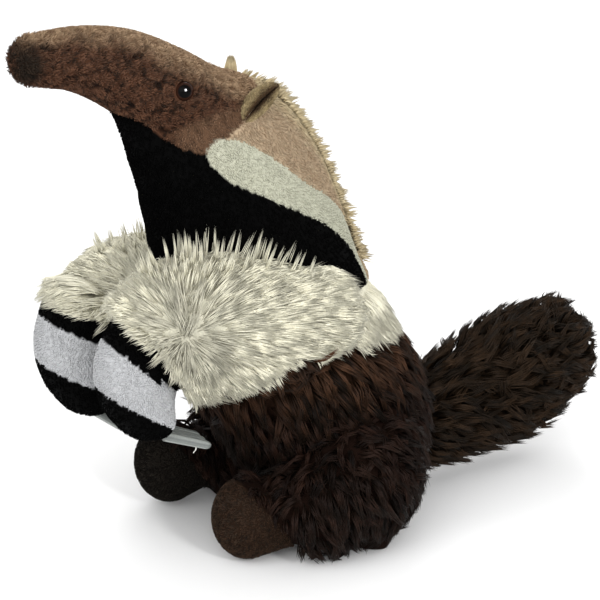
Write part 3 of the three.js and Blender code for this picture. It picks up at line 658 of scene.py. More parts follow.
def make_skin():
    """One skin over all the stuffed forms, sewn from the same fabrics as the coat on it. Returns its search tree."""
    points, faces, first = [], [], 0
    for name, form in FORMS.items():
        rows, quads = form.grid(96, 90, lambda p, name=name: depth_of(name, p))
        points.append(cut_at_hem(name, rows))
        faces += [tuple(first + corner for corner in face) for face in quads]
        first += len(rows)
    skin = new_object("plush_skin", np.concatenate(points), faces, MATERIALS["skin"], FLESH)
    remesh = skin.modifiers.new("join", "REMESH")
    remesh.mode = "VOXEL"
    remesh.voxel_size = SKIN_VOXEL * MM
    ease = skin.modifiers.new("ease", "SMOOTH")
    ease.factor = 0.5
    ease.iterations = 5
    mesh = modified(skin)
    rows = vertices_of(mesh)
    rows[:, 2] = np.maximum(rows[:, 2], FLOOR_CLEAR)
    mesh.vertices.foreach_set("co", (rows * MM).ravel().astype(np.float32))
    mesh.polygons.foreach_set("use_smooth", np.ones(len(mesh.polygons), bool))
    names = list(FORMS)
    shares = [FORMS[name].share(rows, -depth_of(name, rows))[0] + 9 * (under_hem(name, rows) > 0) for name in names]
    nearest = np.argmin(shares, 0)
    colours = np.zeros((len(rows), 3))
    for index, name in enumerate(names):
        own = nearest == index
        fabric = fabric_of(name, rows[own])
        tones = np.zeros((own.sum(), 3))
        for kind in np.unique(fabric):
            here = fabric == kind
            tones[here] = tone_of(kind, rows[own][here], np.full(here.sum(), SKIN_TONE.get(kind, 0.25)))
        colours[own] = tones
    paint(mesh, colours)
    return BVHTree.FromPolygons([tuple(row) for row in rows], [tuple(face.vertices) for face in mesh.polygons])


FLESH = [
    "head", "nape", "throat", "neck_stripe_left", "neck_stripe_right", "shoulders", "torso", "tail",
    *[f"{part}_{side}" for side in SIDES for part in
      ("foreleg", "forepaw_cuff", "forepaw_band", "forepaw_toe", "hind_leg", "hind_foot")],
]


# Short plush

SHORT = [(0.0, 1.0), (0.55, 0.8)]
LONG = [(0.0, 0.8), (0.5, 1.0)]
SHORT_SPACING = {"head": 0.85, "trunk": 1.15, "throat": 1.15, "paw": 1.2, "foot": 0.95}
SHORT_PILE = {
    "head": {"share": 1.0, "length": (1.3, 2.4), "rise": (0.0, 0.5), "stray": 0.3, "tone": (0.25, 0.85),
             "mottle": 0.5, "size": 2.6, "curl": 0.7, "width": (0.5, 0.8)},
    "tan": {"share": 1.0, "length": (1.8, 3.2), "rise": (0.0, 0.4), "stray": 0.16, "tone": (0.3, 0.85),
            "mottle": 0.3, "size": 4.0, "curl": 0.45, "width": (0.6, 0.95)},
    "white": {"share": 0.8, "length": (1.3, 2.0), "rise": (-0.3, 0.0), "stray": 0.25, "tone": (0.4, 0.9),
              "mottle": 0.15, "size": 8.0, "curl": 0.4, "width": (1.0, 1.4)},
    "black": {"share": 0.5, "length": (1.2, 1.9), "rise": (-0.2, 0.2), "stray": 0.3, "tone": (0.2, 1.0),
              "mottle": 0.2, "size": 5.0, "curl": 0.4, "width": (0.9, 1.4)},
    "foot": {"share": 1.0, "length": (1.1, 1.9), "rise": (0.0, 0.4), "stray": 0.35, "tone": (0.1, 1.0),
             "mottle": 0.5, "size": 2.4, "curl": 0.8, "width": (0.55, 0.85)},
}
SHORT_PILE["band"] = SHORT_PILE["white"]
SHORT_PILE["foot_far"] = SHORT_PILE["foot"]
# Tufts around the eyes stand clear of the beads. Those on the tip of the snout stand on end
EYE_CLEAR = 1.06
TIP_STANDS = {"from": -152, "to": -174, "out": 1.7}
SHORT_LIE = {
    "trunk": (0, 0.3, -1), "throat": (0, 0.3, -1), "head": (0, 1, 0.2), "paw": (0, -0.5, -0.87), "foot": (0, -1, 0.1),
}
SHORT_FORMS = {
    "head": "head", "trunk": "trunk", "throat": "throat",
    "paw_left": "paw", "paw_right": "paw", "foot_left": "foot", "foot_right": "foot",
}
SLOTS = {
    "head": "brown_plush", "tan": "tan_plush", "black": "black_plush", "white": "white_plush",
    "band": "white_plush", "foot": "dark_plush", "foot_far": "dark_plush",
}


def curled(points, size):
    """A random heading at each point that turns smoothly from one to the next, about `size` apart."""
    return 2 * np.stack([mottled(points, size, seed) for seed in (4, 5, 6)], 1)


def short_tufts(coat, name, kind, at, away, lie, uv, rng):
    """Adds one short tuft of a fabric at each point of a form. It is cut short where it would cross a seam or near an
    eye.
    """
    pile = SHORT_PILE[kind]
    depth = PLUSH_DEPTH
    count = len(at)
    lie = np.array(lie) + rng.normal(0, pile["stray"], (count, 3)) + pile["curl"] * curled(at, pile["size"])
    lie = unit(lie - away * dots(lie, away)[:, None])
    length = rng.uniform(*pile["length"], count)[:, None]
    rise = rng.uniform(*pile["rise"], count)[:, None]
    if kind == "tan":
        ridge = smooth(26, 8, np.abs(at[:, 0]))[:, None]
        length = length * (1 + 1.2 * ridge)
        rise = rise + 1.3 * ridge * rng.uniform(0, 1, (count, 1))
    if kind == "head":
        rise = rise + TIP_STANDS["out"] * smooth(TIP_STANDS["from"], TIP_STANDS["to"], at[:, 1])[:, None] \
            * rng.uniform(0, 1, (count, 1)) ** 2
    crossing = (fabric_of(name, at + lie * length) != kind) | ~off_eyes(at + lie * length)
    length = np.where(crossing[:, None], 0.3 * length, length)
    base = at - away * (depth + 0.5)
    bend = at + away * (rise - 0.35 * depth) + lie * length * 0.25
    tip = at + away * (rise - 0.3 * depth) + lie * length
    tone = np.clip(rng.uniform(*pile["tone"], count) + pile["mottle"] * mottled(at, pile["size"], 7), 0, 1)
    width = rng.uniform(*pile["width"], count)
    coat.add(base, bend, tip, away, width, tone_of(kind, at, tone * 0.4), tone_of(kind, at, tone), uv)


def on_skin(points, tree):
    """The nearest points on the skin."""
    return np.array([tree.find_nearest(Vector(row))[0] for row in points])


def off_eyes(points):
    """Whether points keep clear of the eye beads."""
    clear = np.ones(len(points), bool)
    for sign in SIDES.values():
        centre = np.array([sign * EYE["x"], EYE["y"], EYE["z"]])
        axis = eye_axis(sign)
        away = points - centre
        away -= dots(away, axis)[:, None] * axis
        clear &= (np.linalg.norm(away, axis=1) > EYE["radius"] * EYE_CLEAR) | (points[:, 0] * sign < 0)
    return clear


def grow_short(rng, tree):
    """Short plush on the head, neck, paws and feet: small tufts, one coat piece for each fabric."""
    coats = {}
    for name, part in SHORT_FORMS.items():
        form = FORMS[name]
        place, angle = form.scatter(SHORT_SPACING[part], rng)
        points, out, _ = form.root(place, angle)
        fabric = fabric_of(name, points)
        keep = ~hidden(points, name, 1.3) & (points[:, 2] > 1) & np.isin(fabric, list(SHORT_PILE)) & off_eyes(points)
        place, angle, points, out, fabric = (rows[keep] for rows in (place, angle, points, out, fabric))
        points = on_skin(points, tree) + out * PLUSH_DEPTH
        uv = unwrapped(name, place, angle)
        for kind in np.unique(fabric):
            own = np.flatnonzero((fabric == kind) & (rng.uniform(0, 1, len(points)) < SHORT_PILE[kind]["share"]))
            if kind not in coats:
                coats[kind] = Coat(f"plush_{kind}", "black" if kind == "black" else "short", SLOTS[kind], SHORT)
            short_tufts(coats[kind], name, kind, points[own], out[own], SHORT_LIE[part], uv[own], rng)
    return [piece for coat in coats.values() for piece in coat.build()]


# Long pile

PILES = {
    "cream": {"spacing": 4.0, "strands": 12, "length": (19, 30), "width": (0.45, 0.75), "spread": 2.7,
              "gather": 0.85, "lift": (-0.5, 1.6), "arch": 0.6, "stray": 0.1, "droop": 1.0, "tone": (0.3, 0.9)},
    "brown": {"spacing": 5.2, "strands": 13, "length": (13, 22), "width": (0.6, 0.95), "spread": 2.5,
              "gather": 0.42, "lift": (-2.0, 4.0), "arch": 1.5, "stray": 0.32, "droop": 1.0, "tone": (0.05, 1.0)},
    "tail": {"spacing": 5.2, "strands": 13, "length": (12, 22), "width": (0.6, 0.95), "spread": 2.5,
             "gather": 0.42, "lift": (-2.0, 5.0), "arch": 1.6, "stray": 0.42, "droop": 0.0, "tone": (0.1, 1.0)},
}
DOWN_COAT = unit(np.array([0, 0.6, -1.0]))
UPRIGHT = {"reach": 11, "height": 3, "shorter": 0.35, "back": 7}
# How far the pile on top of each sleeve runs on straight, past the sleeve's own curve
STRAIGHT = {"left": 0.4, "right": 0.1}
WRIST_LIFT = 3
HEM_UNEVEN = 2.0
LOOSE = {"share": 0.1, "past": (6, 14), "gather": 0.12}
SHORTEST = 5
WRIST_LENGTH = 7
# Thin clumps that stand on end along the top of each sleeve
CREST = {"facing": (0.1, 0, 1), "spacing": 6.8, "strands": 7, "rise": 0.9, "width": (0.35, 0.5), "low": 0.84}
CREST_LENGTH = {"left": (6, 14), "right": (2.5, 6)}


def lie_on(name, points, along):
    """The way that the long pile lies at points of a form."""
    part, _, side = name.partition("_")
    if part in ("foreleg", "paw"):
        fan = unit(points - np.array(WHORLS[side])) + 0.15 * DOWN_COAT
        return fan if part == "paw" else mixed(fan, np.broadcast_to(DOWN_COAT, fan.shape), smooth(-3, 3, under_sleeve(points, side)))
    if part == "tail":
        return along + 0.25 * np.array([0, 0, -1.0])
    if part == "thigh":
        return DOWN_COAT + 0.2 * along
    if part == "foot":
        return np.broadcast_to(DOWN_COAT + 1.5 * FOOT_LINE, points.shape)
    return np.broadcast_to(DOWN_COAT, points.shape)


def upright_at(name, points):
    """How far the pile stands on end, from 1 at the whorl on a foreleg to 0 away from it."""
    part, _, side = name.partition("_")
    if part != "foreleg":
        return np.zeros(len(points))
    return np.exp(-(np.linalg.norm(points - np.array(WHORLS[side]), axis=1) / UPRIGHT["reach"]) ** 2)


def kept_share(name, kind, roots, lie, length, hem):
    """The share of its length that each clump keeps so that it ends at the seam or hem it hangs over."""
    kept = np.ones(len(roots))
    part, _, side = name.partition("_")
    for step in np.linspace(1, 0.1, 19):
        tips = FORMS[name].laid(roots + lie * (length * step)[:, None], 1)
        if kind == "cream" and name == "trunk":
            over = -over_seam(tips, BROWN_SEAM) > hem
        elif part in ("foreleg", "paw", "thigh", "foot"):
            near = FORMS[f"{ENDS.get(part, part)}_{side}"].share(tips, 14)[0] < 1
            over = near & (past_hem(tips, part, side) > hem)
            if part == "foreleg" and kind == "cream":
                over |= (under_sleeve(tips, side) > hem) & (tips[:, 1] > SLEEVE_EDGE[0][0])
        else:
            over = np.zeros(len(roots), bool)
        kept = np.where(over, step - 0.05, kept)
    if part in ("foreleg", "paw") and kind == "cream":
        kept = np.maximum(kept, WRIST_LENGTH / length)
    return kept


def grow_long(name, kind, coat, rng, fabric=None):
    """Long pile on one form: strands in clumps that gather towards their tips."""
    pile = PILES[kind]
    form = FORMS[name]
    place, angle = form.scatter(pile["spacing"], rng)
    points, out, along = form.root(place, angle)
    keep = ~hidden(points, name, 1.5) & (points[:, 2] > 3)
    if fabric:
        keep &= fabric_of(name, points) == fabric
    if name.startswith(("foreleg", "paw")) and kind == "cream":
        keep &= (past_hem(points, "paw", name.partition("_")[2]) < -1.5) | beside_end(name, points)
    place, angle, points, out, along = (rows[keep] for rows in (place, angle, points, out, along))
    lie = lie_on(name, points, along) + rng.normal(0, pile["stray"], points.shape)
    lie = unit(lie - out * dots(lie, out)[:, None])
    length = rng.uniform(*pile["length"], len(points))
    part, _, side = name.partition("_")
    loose = (rng.uniform(0, 1, len(points)) < LOOSE["share"]) & (part in ("foreleg", "paw"))
    hem = rng.normal(0, HEM_UNEVEN, len(points)) + loose * rng.uniform(*LOOSE["past"], len(points))
    length *= kept_share(name, kind, points, lie, length, hem)
    loose &= past_hem(points + lie * length[:, None], part, side) > 3 if part in ("foreleg", "paw") else False
    keep = length > SHORTEST
    rows = (place, angle, points, out, lie, length, loose)
    place, angle, points, out, lie, length, loose = (row[keep] for row in rows)
    count = len(points)
    upright = upright_at(name, points)
    lift = rng.uniform(*pile["lift"], count) + UPRIGHT["height"] * upright
    if part == "paw":
        lift += WRIST_LIFT
    if part == "foreleg":
        lift -= SLEEVE_TOP["sink"] * on_top(points, side)
    length = (length * (1 - UPRIGHT["shorter"] * upright))[:, None]
    clump_tip = form.laid(points + lie * length, lift)
    clump_tip[:, 2] -= pile["droop"]
    if part == "foreleg":
        straight = STRAIGHT[side] * smooth(0.25, 0.7, lie[:, 2]) * rng.uniform(0.3, 1.0, count)
        clump_tip = mixed(clump_tip, points + lie * length * 0.85 + out * 2, straight)
    clump_bend = form.laid(points + lie * length * 0.4, pile["arch"] + lift * 0.5)
    depth = depth_of(name, points)
    each = pile["strands"]
    pick = np.repeat(np.arange(count), each)
    total = len(pick)
    across = np.cross(out, lie)
    offset = across[pick] * rng.normal(0, 0.5, total)[:, None] + lie[pick] * rng.normal(0, 0.5, total)[:, None]
    offset *= pile["spread"]
    offset -= lie[pick] * (UPRIGHT["back"] * upright[pick] * rng.uniform(0, 1, total))[:, None]
    start = form.laid(points[pick] + offset, -depth[pick] - 1.5)
    share = rng.uniform(0.82, 1.04, total)[:, None]
    gather = rng.uniform(0.4, 1.6, total)[:, None] * np.where(loose, LOOSE["gather"], pile["gather"])[pick, None]
    tip = points[pick] + (clump_tip[pick] - points[pick]) * share + offset * gather + rng.normal(0, 0.6, (total, 3))
    bend = clump_bend[pick] + offset * 0.9 + rng.normal(0, 0.5, (total, 3))
    width = rng.uniform(*pile["width"], total)
    clump_tone = rng.uniform(*pile["tone"], count)[pick]
    tone = np.clip(clump_tone + rng.normal(0, 0.12, total), 0, 1)
    roots = tone_of(kind, start, tone * 0.3)
    tips = tone_of(kind, start, tone)
    sunk = (cut_at_hem(name, points) - points)[pick]
    uv = unwrapped(name, place, angle)[pick]
    coat.add(start + sunk, bend + sunk, tip + sunk, out[pick], width, roots, tips, uv)


def grow_crest(side, coat, rng):
    """Thin clumps of the cream pile that stand on end along the top of a sleeve."""
    name = f"foreleg_{side}"
    place, angle = FORMS[name].scatter(CREST["spacing"], rng)
    points, out, _ = FORMS[name].root(place, angle)
    facing = unit(np.array(CREST["facing"]) * [SIDES[side], 1, 1])
    keep = ~hidden(points, name, 1.5) & (out @ facing > CREST["low"]) & (under_sleeve(points, side) < 0)
    place, angle, points, out = (rows[keep] for rows in (place, angle, points, out))
    count = len(points)
    fan = unit(points - np.array(WHORLS[side]))
    heading = unit(0.6 * fan + [0, 0, CREST["rise"]] + rng.normal(0, 0.12, (count, 3)))
    length = rng.uniform(*CREST_LENGTH[side], count) * (0.6 + 0.4 * bump(-130, -30, points[:, 1]))
    pick = np.repeat(np.arange(count), CREST["strands"])
    total = len(pick)
    offset = rng.normal(0, 0.8, (total, 3))
    start = points[pick] - out[pick] * 8 + offset
    tip = points[pick] + heading[pick] * (length[pick] * rng.uniform(0.75, 1.05, total))[:, None] + offset * 0.5
    bend = (start + tip) / 2 + rng.normal(0, 0.3, (total, 3))
    tone = rng.uniform(0.5, 1.0, total)
    uv = unwrapped(name, place, angle)[pick]
    width = rng.uniform(*CREST["width"], total)
    coat.add(start, bend, tip, out[pick], width, tone_of("cream", start, tone * 0.5), tone_of("cream", tip, tone), uv)


def make_piles(rng):
    made = []
    for label, kind, slot, parts in [
        ("pile_shoulders", "cream", "cream_pile", [("trunk", "cream")]),
        ("pile_foreleg_left", "cream", "cream_pile", [("foreleg_left", "cream"), ("paw_left", "cream")]),
        ("pile_foreleg_right", "cream", "cream_pile", [("foreleg_right", "cream"), ("paw_right", "cream")]),
        ("pile_torso", "brown", "brown_pile",
         [("trunk", "brown"), ("foreleg_left", "brown"), ("foreleg_right", "brown")]),
        ("pile_hind_legs", "brown", "brown_pile",
         [("thigh_left", None), ("thigh_right", None), ("foot_left", "brown"), ("foot_right", "brown")]),
        ("pile_tail", "tail", "brown_pile", [("tail", None)]),
    ]:
        coat = Coat(label, "long" if kind == "cream" else "dark", slot, LONG)
        for name, fabric in parts:
            grow_long(name, kind, coat, rng, fabric)
            if name.startswith("foreleg") and fabric == "cream":
                grow_crest(name.partition("_")[2], coat, rng)
        made += coat.build()
    return made


# The mane

MANE = {"start": 0.44, "end": 0.88, "rows": 76, "columns": 4, "aside": 0.12, "length": (8, 14), "strands": 10}


def make_mane(rng):
    """A straw-coloured strip of upright tufts down the back of the neck."""
    form = FORMS["trunk"]
    row, column = np.divmod(np.arange(MANE["rows"] * MANE["columns"]), MANE["columns"])
    count = len(row)
    place = MANE["start"] + (MANE["end"] - MANE["start"]) * (row + rng.uniform(0, 1, count)) / MANE["rows"]
    across = column - (MANE["columns"] - 1) / 2 + rng.uniform(-0.4, 0.4, count)
    angle = math.pi / 2 + MANE["aside"] * across
    points, out, _ = form.root(place, angle)
    keep = ~hidden(points, "trunk", 0.5)
    place, angle, points, out = (rows[keep] for rows in (place, angle, points, out))
    count = len(points)
    pick = np.repeat(np.arange(count), MANE["strands"])
    total = len(pick)
    heading = unit(out + np.array([0, 0.15, -0.5]) + rng.normal(0, 0.22, (count, 3)))
    length = rng.uniform(*MANE["length"], count)[pick, None]
    side = np.array([1.0, 0, 0])
    offset = rng.normal(0, 1.3, (total, 1)) * unit(np.cross(out[pick], side)) + rng.normal(0, 1.1, (total, 1)) * side
    start = points[pick] - out[pick] * 3 + offset
    tip = points[pick] + heading[pick] * length * rng.uniform(0.55, 1.0, (total, 1)) * 0.75 + offset * 0.4
    bend = points[pick] + out[pick] * 2.5 + offset
    tone = rng.uniform(0.3, 1.0, total)
    coat = Coat("mane", "long", "tan_plush", LONG)
    low, high = linear(TONES["straw"])
    width = rng.uniform(0.7, 1.2, total)
    uv = unwrapped("trunk", place, angle)[pick]
    coat.add(start, bend, tip, out[pick], width, mixed(low, high, tone * 0.3), mixed(low, high, tone), uv)
    return coat.build()


# Ears

LIPS = [
    {"shift": 4.8, "thick": 2.9, "reach": (1.0, 9.0), "crease": -1},
    {"shift": -1.6, "thick": 2.1, "reach": (0.5, 6.8), "crease": 1},
]
EAR_HALF_LENGTH = 13.6
EAR_FORWARD = {"left": 2.5, "right": -3}
EAR_RISE = {"left": 1.0, "right": 0.3}
# Loose tufts of the right ear, seen over the crest: the foot and tip of each, then how wide each is
EAR_WISPS = [
    ((-18, -49.2, 247), (-20.5, -48, 259.5), 3.4, 1.1, 130), ((-17, -44, 246), (-17, -37.5, 251), 1.6, 0.4, 26),
    ((-15, -41, 245), (-14, -35, 250.5), 1.6, 0.3, 22), ((-15, -47, 247), (-16, -40.5, 252.5), 1.4, 0.3, 16),
]


def ear_axes(side):
    """The middle of an ear's base and its three ways: along the base, across the pouch and out of the head."""
    mirror = np.array([SIDES[side], 1, 1])
    out = unit(np.array(EAR["out"], float))
    along = np.array(EAR["along"], float)
    along = unit(along - out * dots(along, out))
    thin = np.cross(out, along)
    return np.array(EAR["root"]) * mirror, along * mirror, thin * mirror, out * mirror


def lip_point(side, lip, u, turn):
    """A point of a lip of the ear: u runs along it from -1 to 1 and turn runs around it."""
    root, along, thin, out = ear_axes(side)
    taper = np.sqrt(np.clip(1 - u ** 2, 0, 1))
    low, high = np.array(lip["reach"]) * EAR_RISE[side]
    middle = (
        root + along * (EAR_FORWARD[side] + EAR_HALF_LENGTH * u)[:, None] + thin * (lip["shift"] * taper)[:, None]
        + out * (low + 0 * u)[:, None]
    )
    bulge = np.sin(turn) * high * (0.35 + 0.65 * taper)
    return middle + thin * (np.cos(turn) * lip["thick"] * taper)[:, None] + out * bulge[:, None]


def make_ear(side, coat, rng):
    """A folded pouch of two soft lips. The tufts by the crease between them are painted darker: painted shade."""
    points, faces = [], []
    rings, sides = 28, 24
    for lip in LIPS:
        first = sum(len(rows) for rows in points)
        u = np.repeat(np.sin(np.linspace(-1.54, 1.54, rings)), sides)
        turn = np.tile(np.arange(sides) * 2 * math.pi / sides, rings)
        points.append(lip_point(side, lip, u, turn))
        for r in range(rings - 1):
            for k in range(sides):
                j = (k + 1) % sides
                quad = (r * sides + k, r * sides + j, (r + 1) * sides + j, (r + 1) * sides + k)
                faces.append(tuple(first + corner for corner in (quad if SIDES[side] > 0 else quad[::-1])))
        for start, step in ((0, -1), ((rings - 1) * sides, 1)):
            ring = [first + start + k for k in range(sides)]
            faces.append(tuple(ring[::step * SIDES[side]]))
    rows = np.concatenate(points)
    ear = new_object(f"ear_pouch_{side}", rows, faces, MATERIALS["skin"], [f"ear_{side}"])
    low, _ = linear(TONES["olive"])
    paint(ear.data, np.tile(low, (len(rows), 1)))
    for lip in LIPS:
        count = EAR_TUFTS
        u = rng.uniform(-0.985, 0.985, count)
        turn = rng.uniform(-0.5, math.pi + 0.5, count)
        at = lip_point(side, lip, u, turn)
        step = 0.02
        along = lip_point(side, lip, u + step * 0.5, turn) - lip_point(side, lip, u - step * 0.5, turn)
        around = lip_point(side, lip, u, turn + step) - lip_point(side, lip, u, turn - step)
        away = unit(np.cross(along, around)) * SIDES[side]
        centre = lip_point(side, lip, u, turn * 0) * 0.5 + lip_point(side, lip, u, turn * 0 + math.pi) * 0.5
        away *= np.sign(dots(away, at - centre))[:, None]
        # Tufts facing the crease between the lips are painted darker: painted shade in the crease
        inward = lip["crease"] * np.cos(turn)
        shade = smooth(-0.45, 0.6, inward)
        tone = np.clip(rng.uniform(0.3, 1.0, count) + 0.3 * mottled(at, 4), 0, 1)
        olive, crease = (mixed(*linear(TONES[name]), tone) for name in ("olive", "crease"))
        tips = mixed(olive, crease, shade)
        lie = unit(along * SIDES[side] + rng.normal(0, 0.25, (count, 3)) * np.linalg.norm(along, axis=1)[:, None])
        lie = unit(lie - away * dots(lie, away)[:, None])
        length = rng.uniform(1.2, 2.2, count)[:, None]
        tip = at + away * rng.uniform(0.3, 0.9, (count, 1)) + lie * length
        bend = at + away * 0.8 + lie * length * 0.3
        width = rng.uniform(0.5, 0.8, count)
        uv = np.full((count, 2), 0.78) + np.stack([u, turn / 4], 1) * 0.08
        coat.add(at - away * 0.5, bend, tip, away, width, tips * 0.6, tips, uv)
    return ear


EAR_TUFTS = 2500


def make_ears(rng):
    coat = Coat("plush_ears", "short", "olive_plush", SHORT)
    for side in SIDES:
        make_ear(side, coat, rng)
    wide = np.array([0.47, 0.883, 0])
    low, high = linear(TONES["straw"])
    for foot, tip, foot_width, tip_width, count in EAR_WISPS:
        aside = rng.uniform(-1, 1, (count, 1))
        start = np.array(foot) + wide * aside * foot_width + rng.normal(0, 0.5, (count, 3))
        end = np.array(tip) + wide * aside * tip_width + rng.normal(0, 0.4, (count, 3))
        middle = (start + end) / 2 + wide * aside * foot_width * 0.3
        tone = rng.uniform(0.2, 0.9, count)
        away = np.tile(np.cross(wide, [0, 0, 1.0]), (count, 1))
        uv = np.full((count, 2), 0.9) + rng.uniform(0, 0.05, (count, 2))
        coat.add(start, middle, end, away, rng.uniform(0.5, 0.9, count), mixed(low, high, tone * 0.3),
                 mixed(low, high, tone), uv)
    return coat.build()


# Claws

CLAW_SIDES = 36
CLAW_RINGS = 26
THREAD = {"from": 0.86, "length": 3.4, "radius": 0.28}


def claw_rings(side, index):
    """The middle line of a claw and its half sizes, from inside the toe to the rounded tip."""
    claw = CLAWS[side]
    across = (index - (CLAW["count"] - 1) / 2) * CLAW["spacing"]
    t = 1 - np.cos(np.linspace(0, math.pi / 2, CLAW_RINGS)) ** 1.6
    root = np.array(claw["root"]) + [across, 0, 0]
    middle = root + np.array(claw["heading"]) * (CLAW["length"] + 2.2) * t[:, None]
    size = np.sqrt(np.clip(1 - np.clip((t - 0.86) / 0.14, 0, 1) ** 2, 0.0004, 1)) * (1 - 0.2 * t)
    return middle, size


def make_claws(side, rng):
    """Three flat satin claws side by side, with lengthwise folds."""
    rows, faces, tints = [], [], []
    heading = unit(np.array(CLAWS[side]["heading"], float))
    over = unit(np.cross([1.0, 0, 0], heading))
    low, high = linear(TONES["satin"])
    turn = np.arange(CLAW_SIDES) * 2 * math.pi / CLAW_SIDES
    for index in range(CLAW["count"]):
        first = sum(len(part) for part in rows)
        middle, size = claw_rings(side, index)
        # Random folds that dent each claw a little and are painted as lighter and darker streaks: painted sheen and
        # shade of the folds
        fold_dents_and_sheen = rng.uniform(0, 1, CLAW_SIDES)
        fold_dents_and_sheen = 0.5 * fold_dents_and_sheen + 0.5 * np.roll(fold_dents_and_sheen, 1)
        for at, scale in zip(middle, size):
            half = 1 - 0.06 * fold_dents_and_sheen
            x = np.sign(np.cos(turn)) * np.abs(np.cos(turn)) ** 0.8 * CLAW["half_width"] * scale * half
            y = np.sin(turn) * CLAW["half_thick"] * scale * half
            rows.append(at + x[:, None] * [1.0, 0, 0] + y[:, None] * over)
            tints.append(mixed(low, high, fold_dents_and_sheen))
        for r in range(CLAW_RINGS - 1):
            for k in range(CLAW_SIDES):
                j = (k + 1) % CLAW_SIDES
                quad = (r * CLAW_SIDES + k, r * CLAW_SIDES + j, (r + 1) * CLAW_SIDES + j, (r + 1) * CLAW_SIDES + k)
                faces.append(tuple(first + corner for corner in quad))
        faces.append(tuple(first + k for k in range(CLAW_SIDES))[::-1])
        faces.append(tuple(first + (CLAW_RINGS - 1) * CLAW_SIDES + k for k in range(CLAW_SIDES)))
    names = [f"claw_{side}_{index + 1}" for index in range(CLAW["count"])]
    claws = new_object(f"claws_{side}", np.concatenate(rows), faces, MATERIALS["satin"], names)
    paint(claws.data, np.concatenate(tints))
    return claws


def make_thread(rng):
    """A short loose end of white thread under the outermost left claw."""
    middle, _ = claw_rings("left", CLAW["count"] - 1)
    start = middle[int(CLAW_RINGS * 0.62)] + np.array([1.5, 0.5, -2.3])
    steps = np.linspace(0, 1, 9)
    line = start + np.stack([0.6 * np.sin(5 * steps), -1.2 * steps, -THREAD["length"] * steps], 1)
    rows, faces = [], []
    for at in line:
        rows += [at + THREAD["radius"] * np.array([math.cos(a), math.sin(a), 0]) for a in np.arange(6) * math.pi / 3]
    for r in range(len(line) - 1):
        faces += [(r * 6 + k, r * 6 + (k + 1) % 6, r * 6 + 6 + (k + 1) % 6, r * 6 + 6 + k) for k in range(6)]
    faces += [tuple(range(6))[::-1], tuple(range(len(rows) - 6, len(rows)))]
    thread = new_object("claw_thread", rows, faces, MATERIALS["satin"])
    paint(thread.data, np.tile(linear((214, 214, 208)), (len(rows), 1)))
    return thread


# Eyes

def eye_material():
    """Glossy plastic that takes its colour from the mesh: a black pupil, a dark brown iris and a black rim."""
    material = bpy.data.materials.new("eye_plastic")
    material.use_nodes = True
    nodes, links = material.node_tree.nodes, material.node_tree.links
    shader = nodes["Principled BSDF"]
    shader.inputs["Roughness"].default_value = 0.12
    shader.inputs["Specular IOR Level"].default_value = 0.05
    attribute = nodes.new("ShaderNodeAttribute")
    attribute.attribute_name = "Tint"
    links.new(attribute.outputs["Color"], shader.inputs["Base Color"])
    return material


def eye_axis(sign):
    """The way an eye looks."""
    return unit(np.array([sign * 1.0, -0.3, 0.25]))


def make_eye(side, material):
    rings, sides = 40, 48
    sign = SIDES[side]
    axis = eye_axis(sign)
    other = unit(np.cross(axis, [0, 0, 1.0]))
    third = np.cross(axis, other)
    points, faces = [], []
    centre = np.array([sign * EYE["x"], EYE["y"], EYE["z"]])
    turns = np.linspace(0.0, math.pi, rings)
    for turn in turns:
        for k in range(sides):
            a = 2 * math.pi * k / sides
            ring = other * math.cos(a) + third * math.sin(a)
            points.append(centre + EYE["radius"] * (axis * math.cos(turn) + ring * math.sin(turn)))
    for r in range(rings - 1):
        for k in range(sides):
            j = (k + 1) % sides
            faces.append((r * sides + k, (r + 1) * sides + k, (r + 1) * sides + j, r * sides + j))
    eye = new_object(f"eye_bead_{side}", points, faces, material, [f"eye_{side}"])
    turn = np.repeat(np.degrees(turns), sides)
    iris = smooth(38, 46, turn) * (1 - smooth(60, 70, turn))
    paint(eye.data, mixed(linear((4, 3, 3)), linear((40, 22, 15)), iris))
    weld(eye)
    return eye


def weld(piece):
    """Joins points that share a place, such as the poles of a bead."""
    piece.modifiers.new("weld", "WELD").merge_threshold = 1e-6
    modified(piece)


# The scene

def make_floor():
    """A plain pale floor under the toy."""
    material = bpy.data.materials.new("studio_floor")
    material.use_nodes = True
    shader = material.node_tree.nodes["Principled BSDF"]
    shader.inputs["Base Color"].default_value = (0.86, 0.86, 0.86, 1)
    shader.inputs["Roughness"].default_value = 0.9
    mesh = bpy.data.meshes.new("floor")
    half = 6.0
    mesh.from_pydata([(-half, -half, 0), (half, -half, 0), (half, half, 0), (-half, half, 0)], [], [(0, 1, 2, 3)])
    mesh.materials.append(material)
    floor = bpy.data.objects.new("floor", mesh)
    bpy.context.scene.collection.objects.link(floor)


AZIMUTH = math.radians(62)
ELEVATION = math.radians(22)
DISTANCE = 1500
LENS = 162
AIM_RIGHT = -16.11
AIM_UP = 112.22


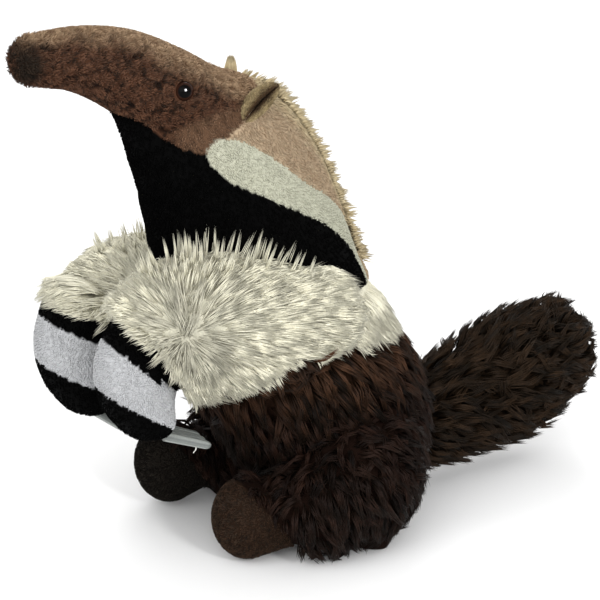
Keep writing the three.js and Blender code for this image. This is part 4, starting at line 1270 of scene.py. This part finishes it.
def make_camera():
    back = Vector((math.sin(AZIMUTH) * math.cos(ELEVATION), -math.cos(AZIMUTH) * math.cos(ELEVATION), math.sin(ELEVATION)))
    right = Vector((math.cos(AZIMUTH), math.sin(AZIMUTH), 0))
    up = back.cross(right)
    camera = bpy.data.objects.new("camera", bpy.data.cameras.new("camera"))
    camera.data.lens = LENS
    camera.data.sensor_width = 36
    camera.data.clip_end = 20
    camera.location = (right * AIM_RIGHT + up * AIM_UP + back * DISTANCE) * MM
    camera.rotation_euler = back.to_track_quat("Z", "Y").to_euler()
    bpy.context.scene.collection.objects.link(camera)
    bpy.context.scene.camera = camera


def add_light(name, place, size, power):
    """A soft square light that looks at the toy."""
    light = bpy.data.lights.new(name, "AREA")
    light.size = size
    light.energy = power
    lamp = bpy.data.objects.new(name, light)
    lamp.location = place
    lamp.rotation_euler = (Vector(place) - Vector((0, -0.02, 0.14))).to_track_quat("Z", "Y").to_euler()
    bpy.context.scene.collection.objects.link(lamp)
    return lamp


def make_lights():
    world = bpy.data.worlds.new("studio")
    world.use_nodes = True
    world.node_tree.nodes["Background"].inputs["Color"].default_value = (1, 1, 1, 1)
    world.node_tree.nodes["Background"].inputs["Strength"].default_value = 0.95
    bpy.context.scene.world = world
    add_light("key", (1.2, -1.2, 1.4), 2.0, 22)
    add_light("front", (0.6, -1.6, 0.7), 1.8, 7)
    add_light("side", (1.42, 0.06, 0.78), 0.24, 10)
    add_light("rim", (-1.2, 0.6, 1.3), 1.0, 10)


def make_eye_light(beads):
    """The light that shows as a small highlight on each eye bead, and lights nothing else."""
    lamp = add_light("eye_light", (1.42, 0.0, 0.9), 0.6, 600)
    lamp.visible_diffuse = False
    lit = bpy.data.collections.new("eye_beads")
    for bead in beads:
        lit.objects.link(bead)
    lamp.light_linking.receiver_collection = lit


make_camera()
make_lights()
make_floor()
SKIN_TREE = make_skin()
grow_short(np.random.default_rng(7), SKIN_TREE)
make_piles(np.random.default_rng(8))
make_mane(np.random.default_rng(9))
make_ears(np.random.default_rng(10))
EYE_PLASTIC = eye_material()
EYE_BEADS = [make_eye(side, EYE_PLASTIC) for side in SIDES]
make_eye_light(EYE_BEADS)
for SIDE in SIDES:
    make_claws(SIDE, np.random.default_rng(11))
make_thread(np.random.default_rng(12))
bpy.context.scene.view_settings.view_transform = "Standard"
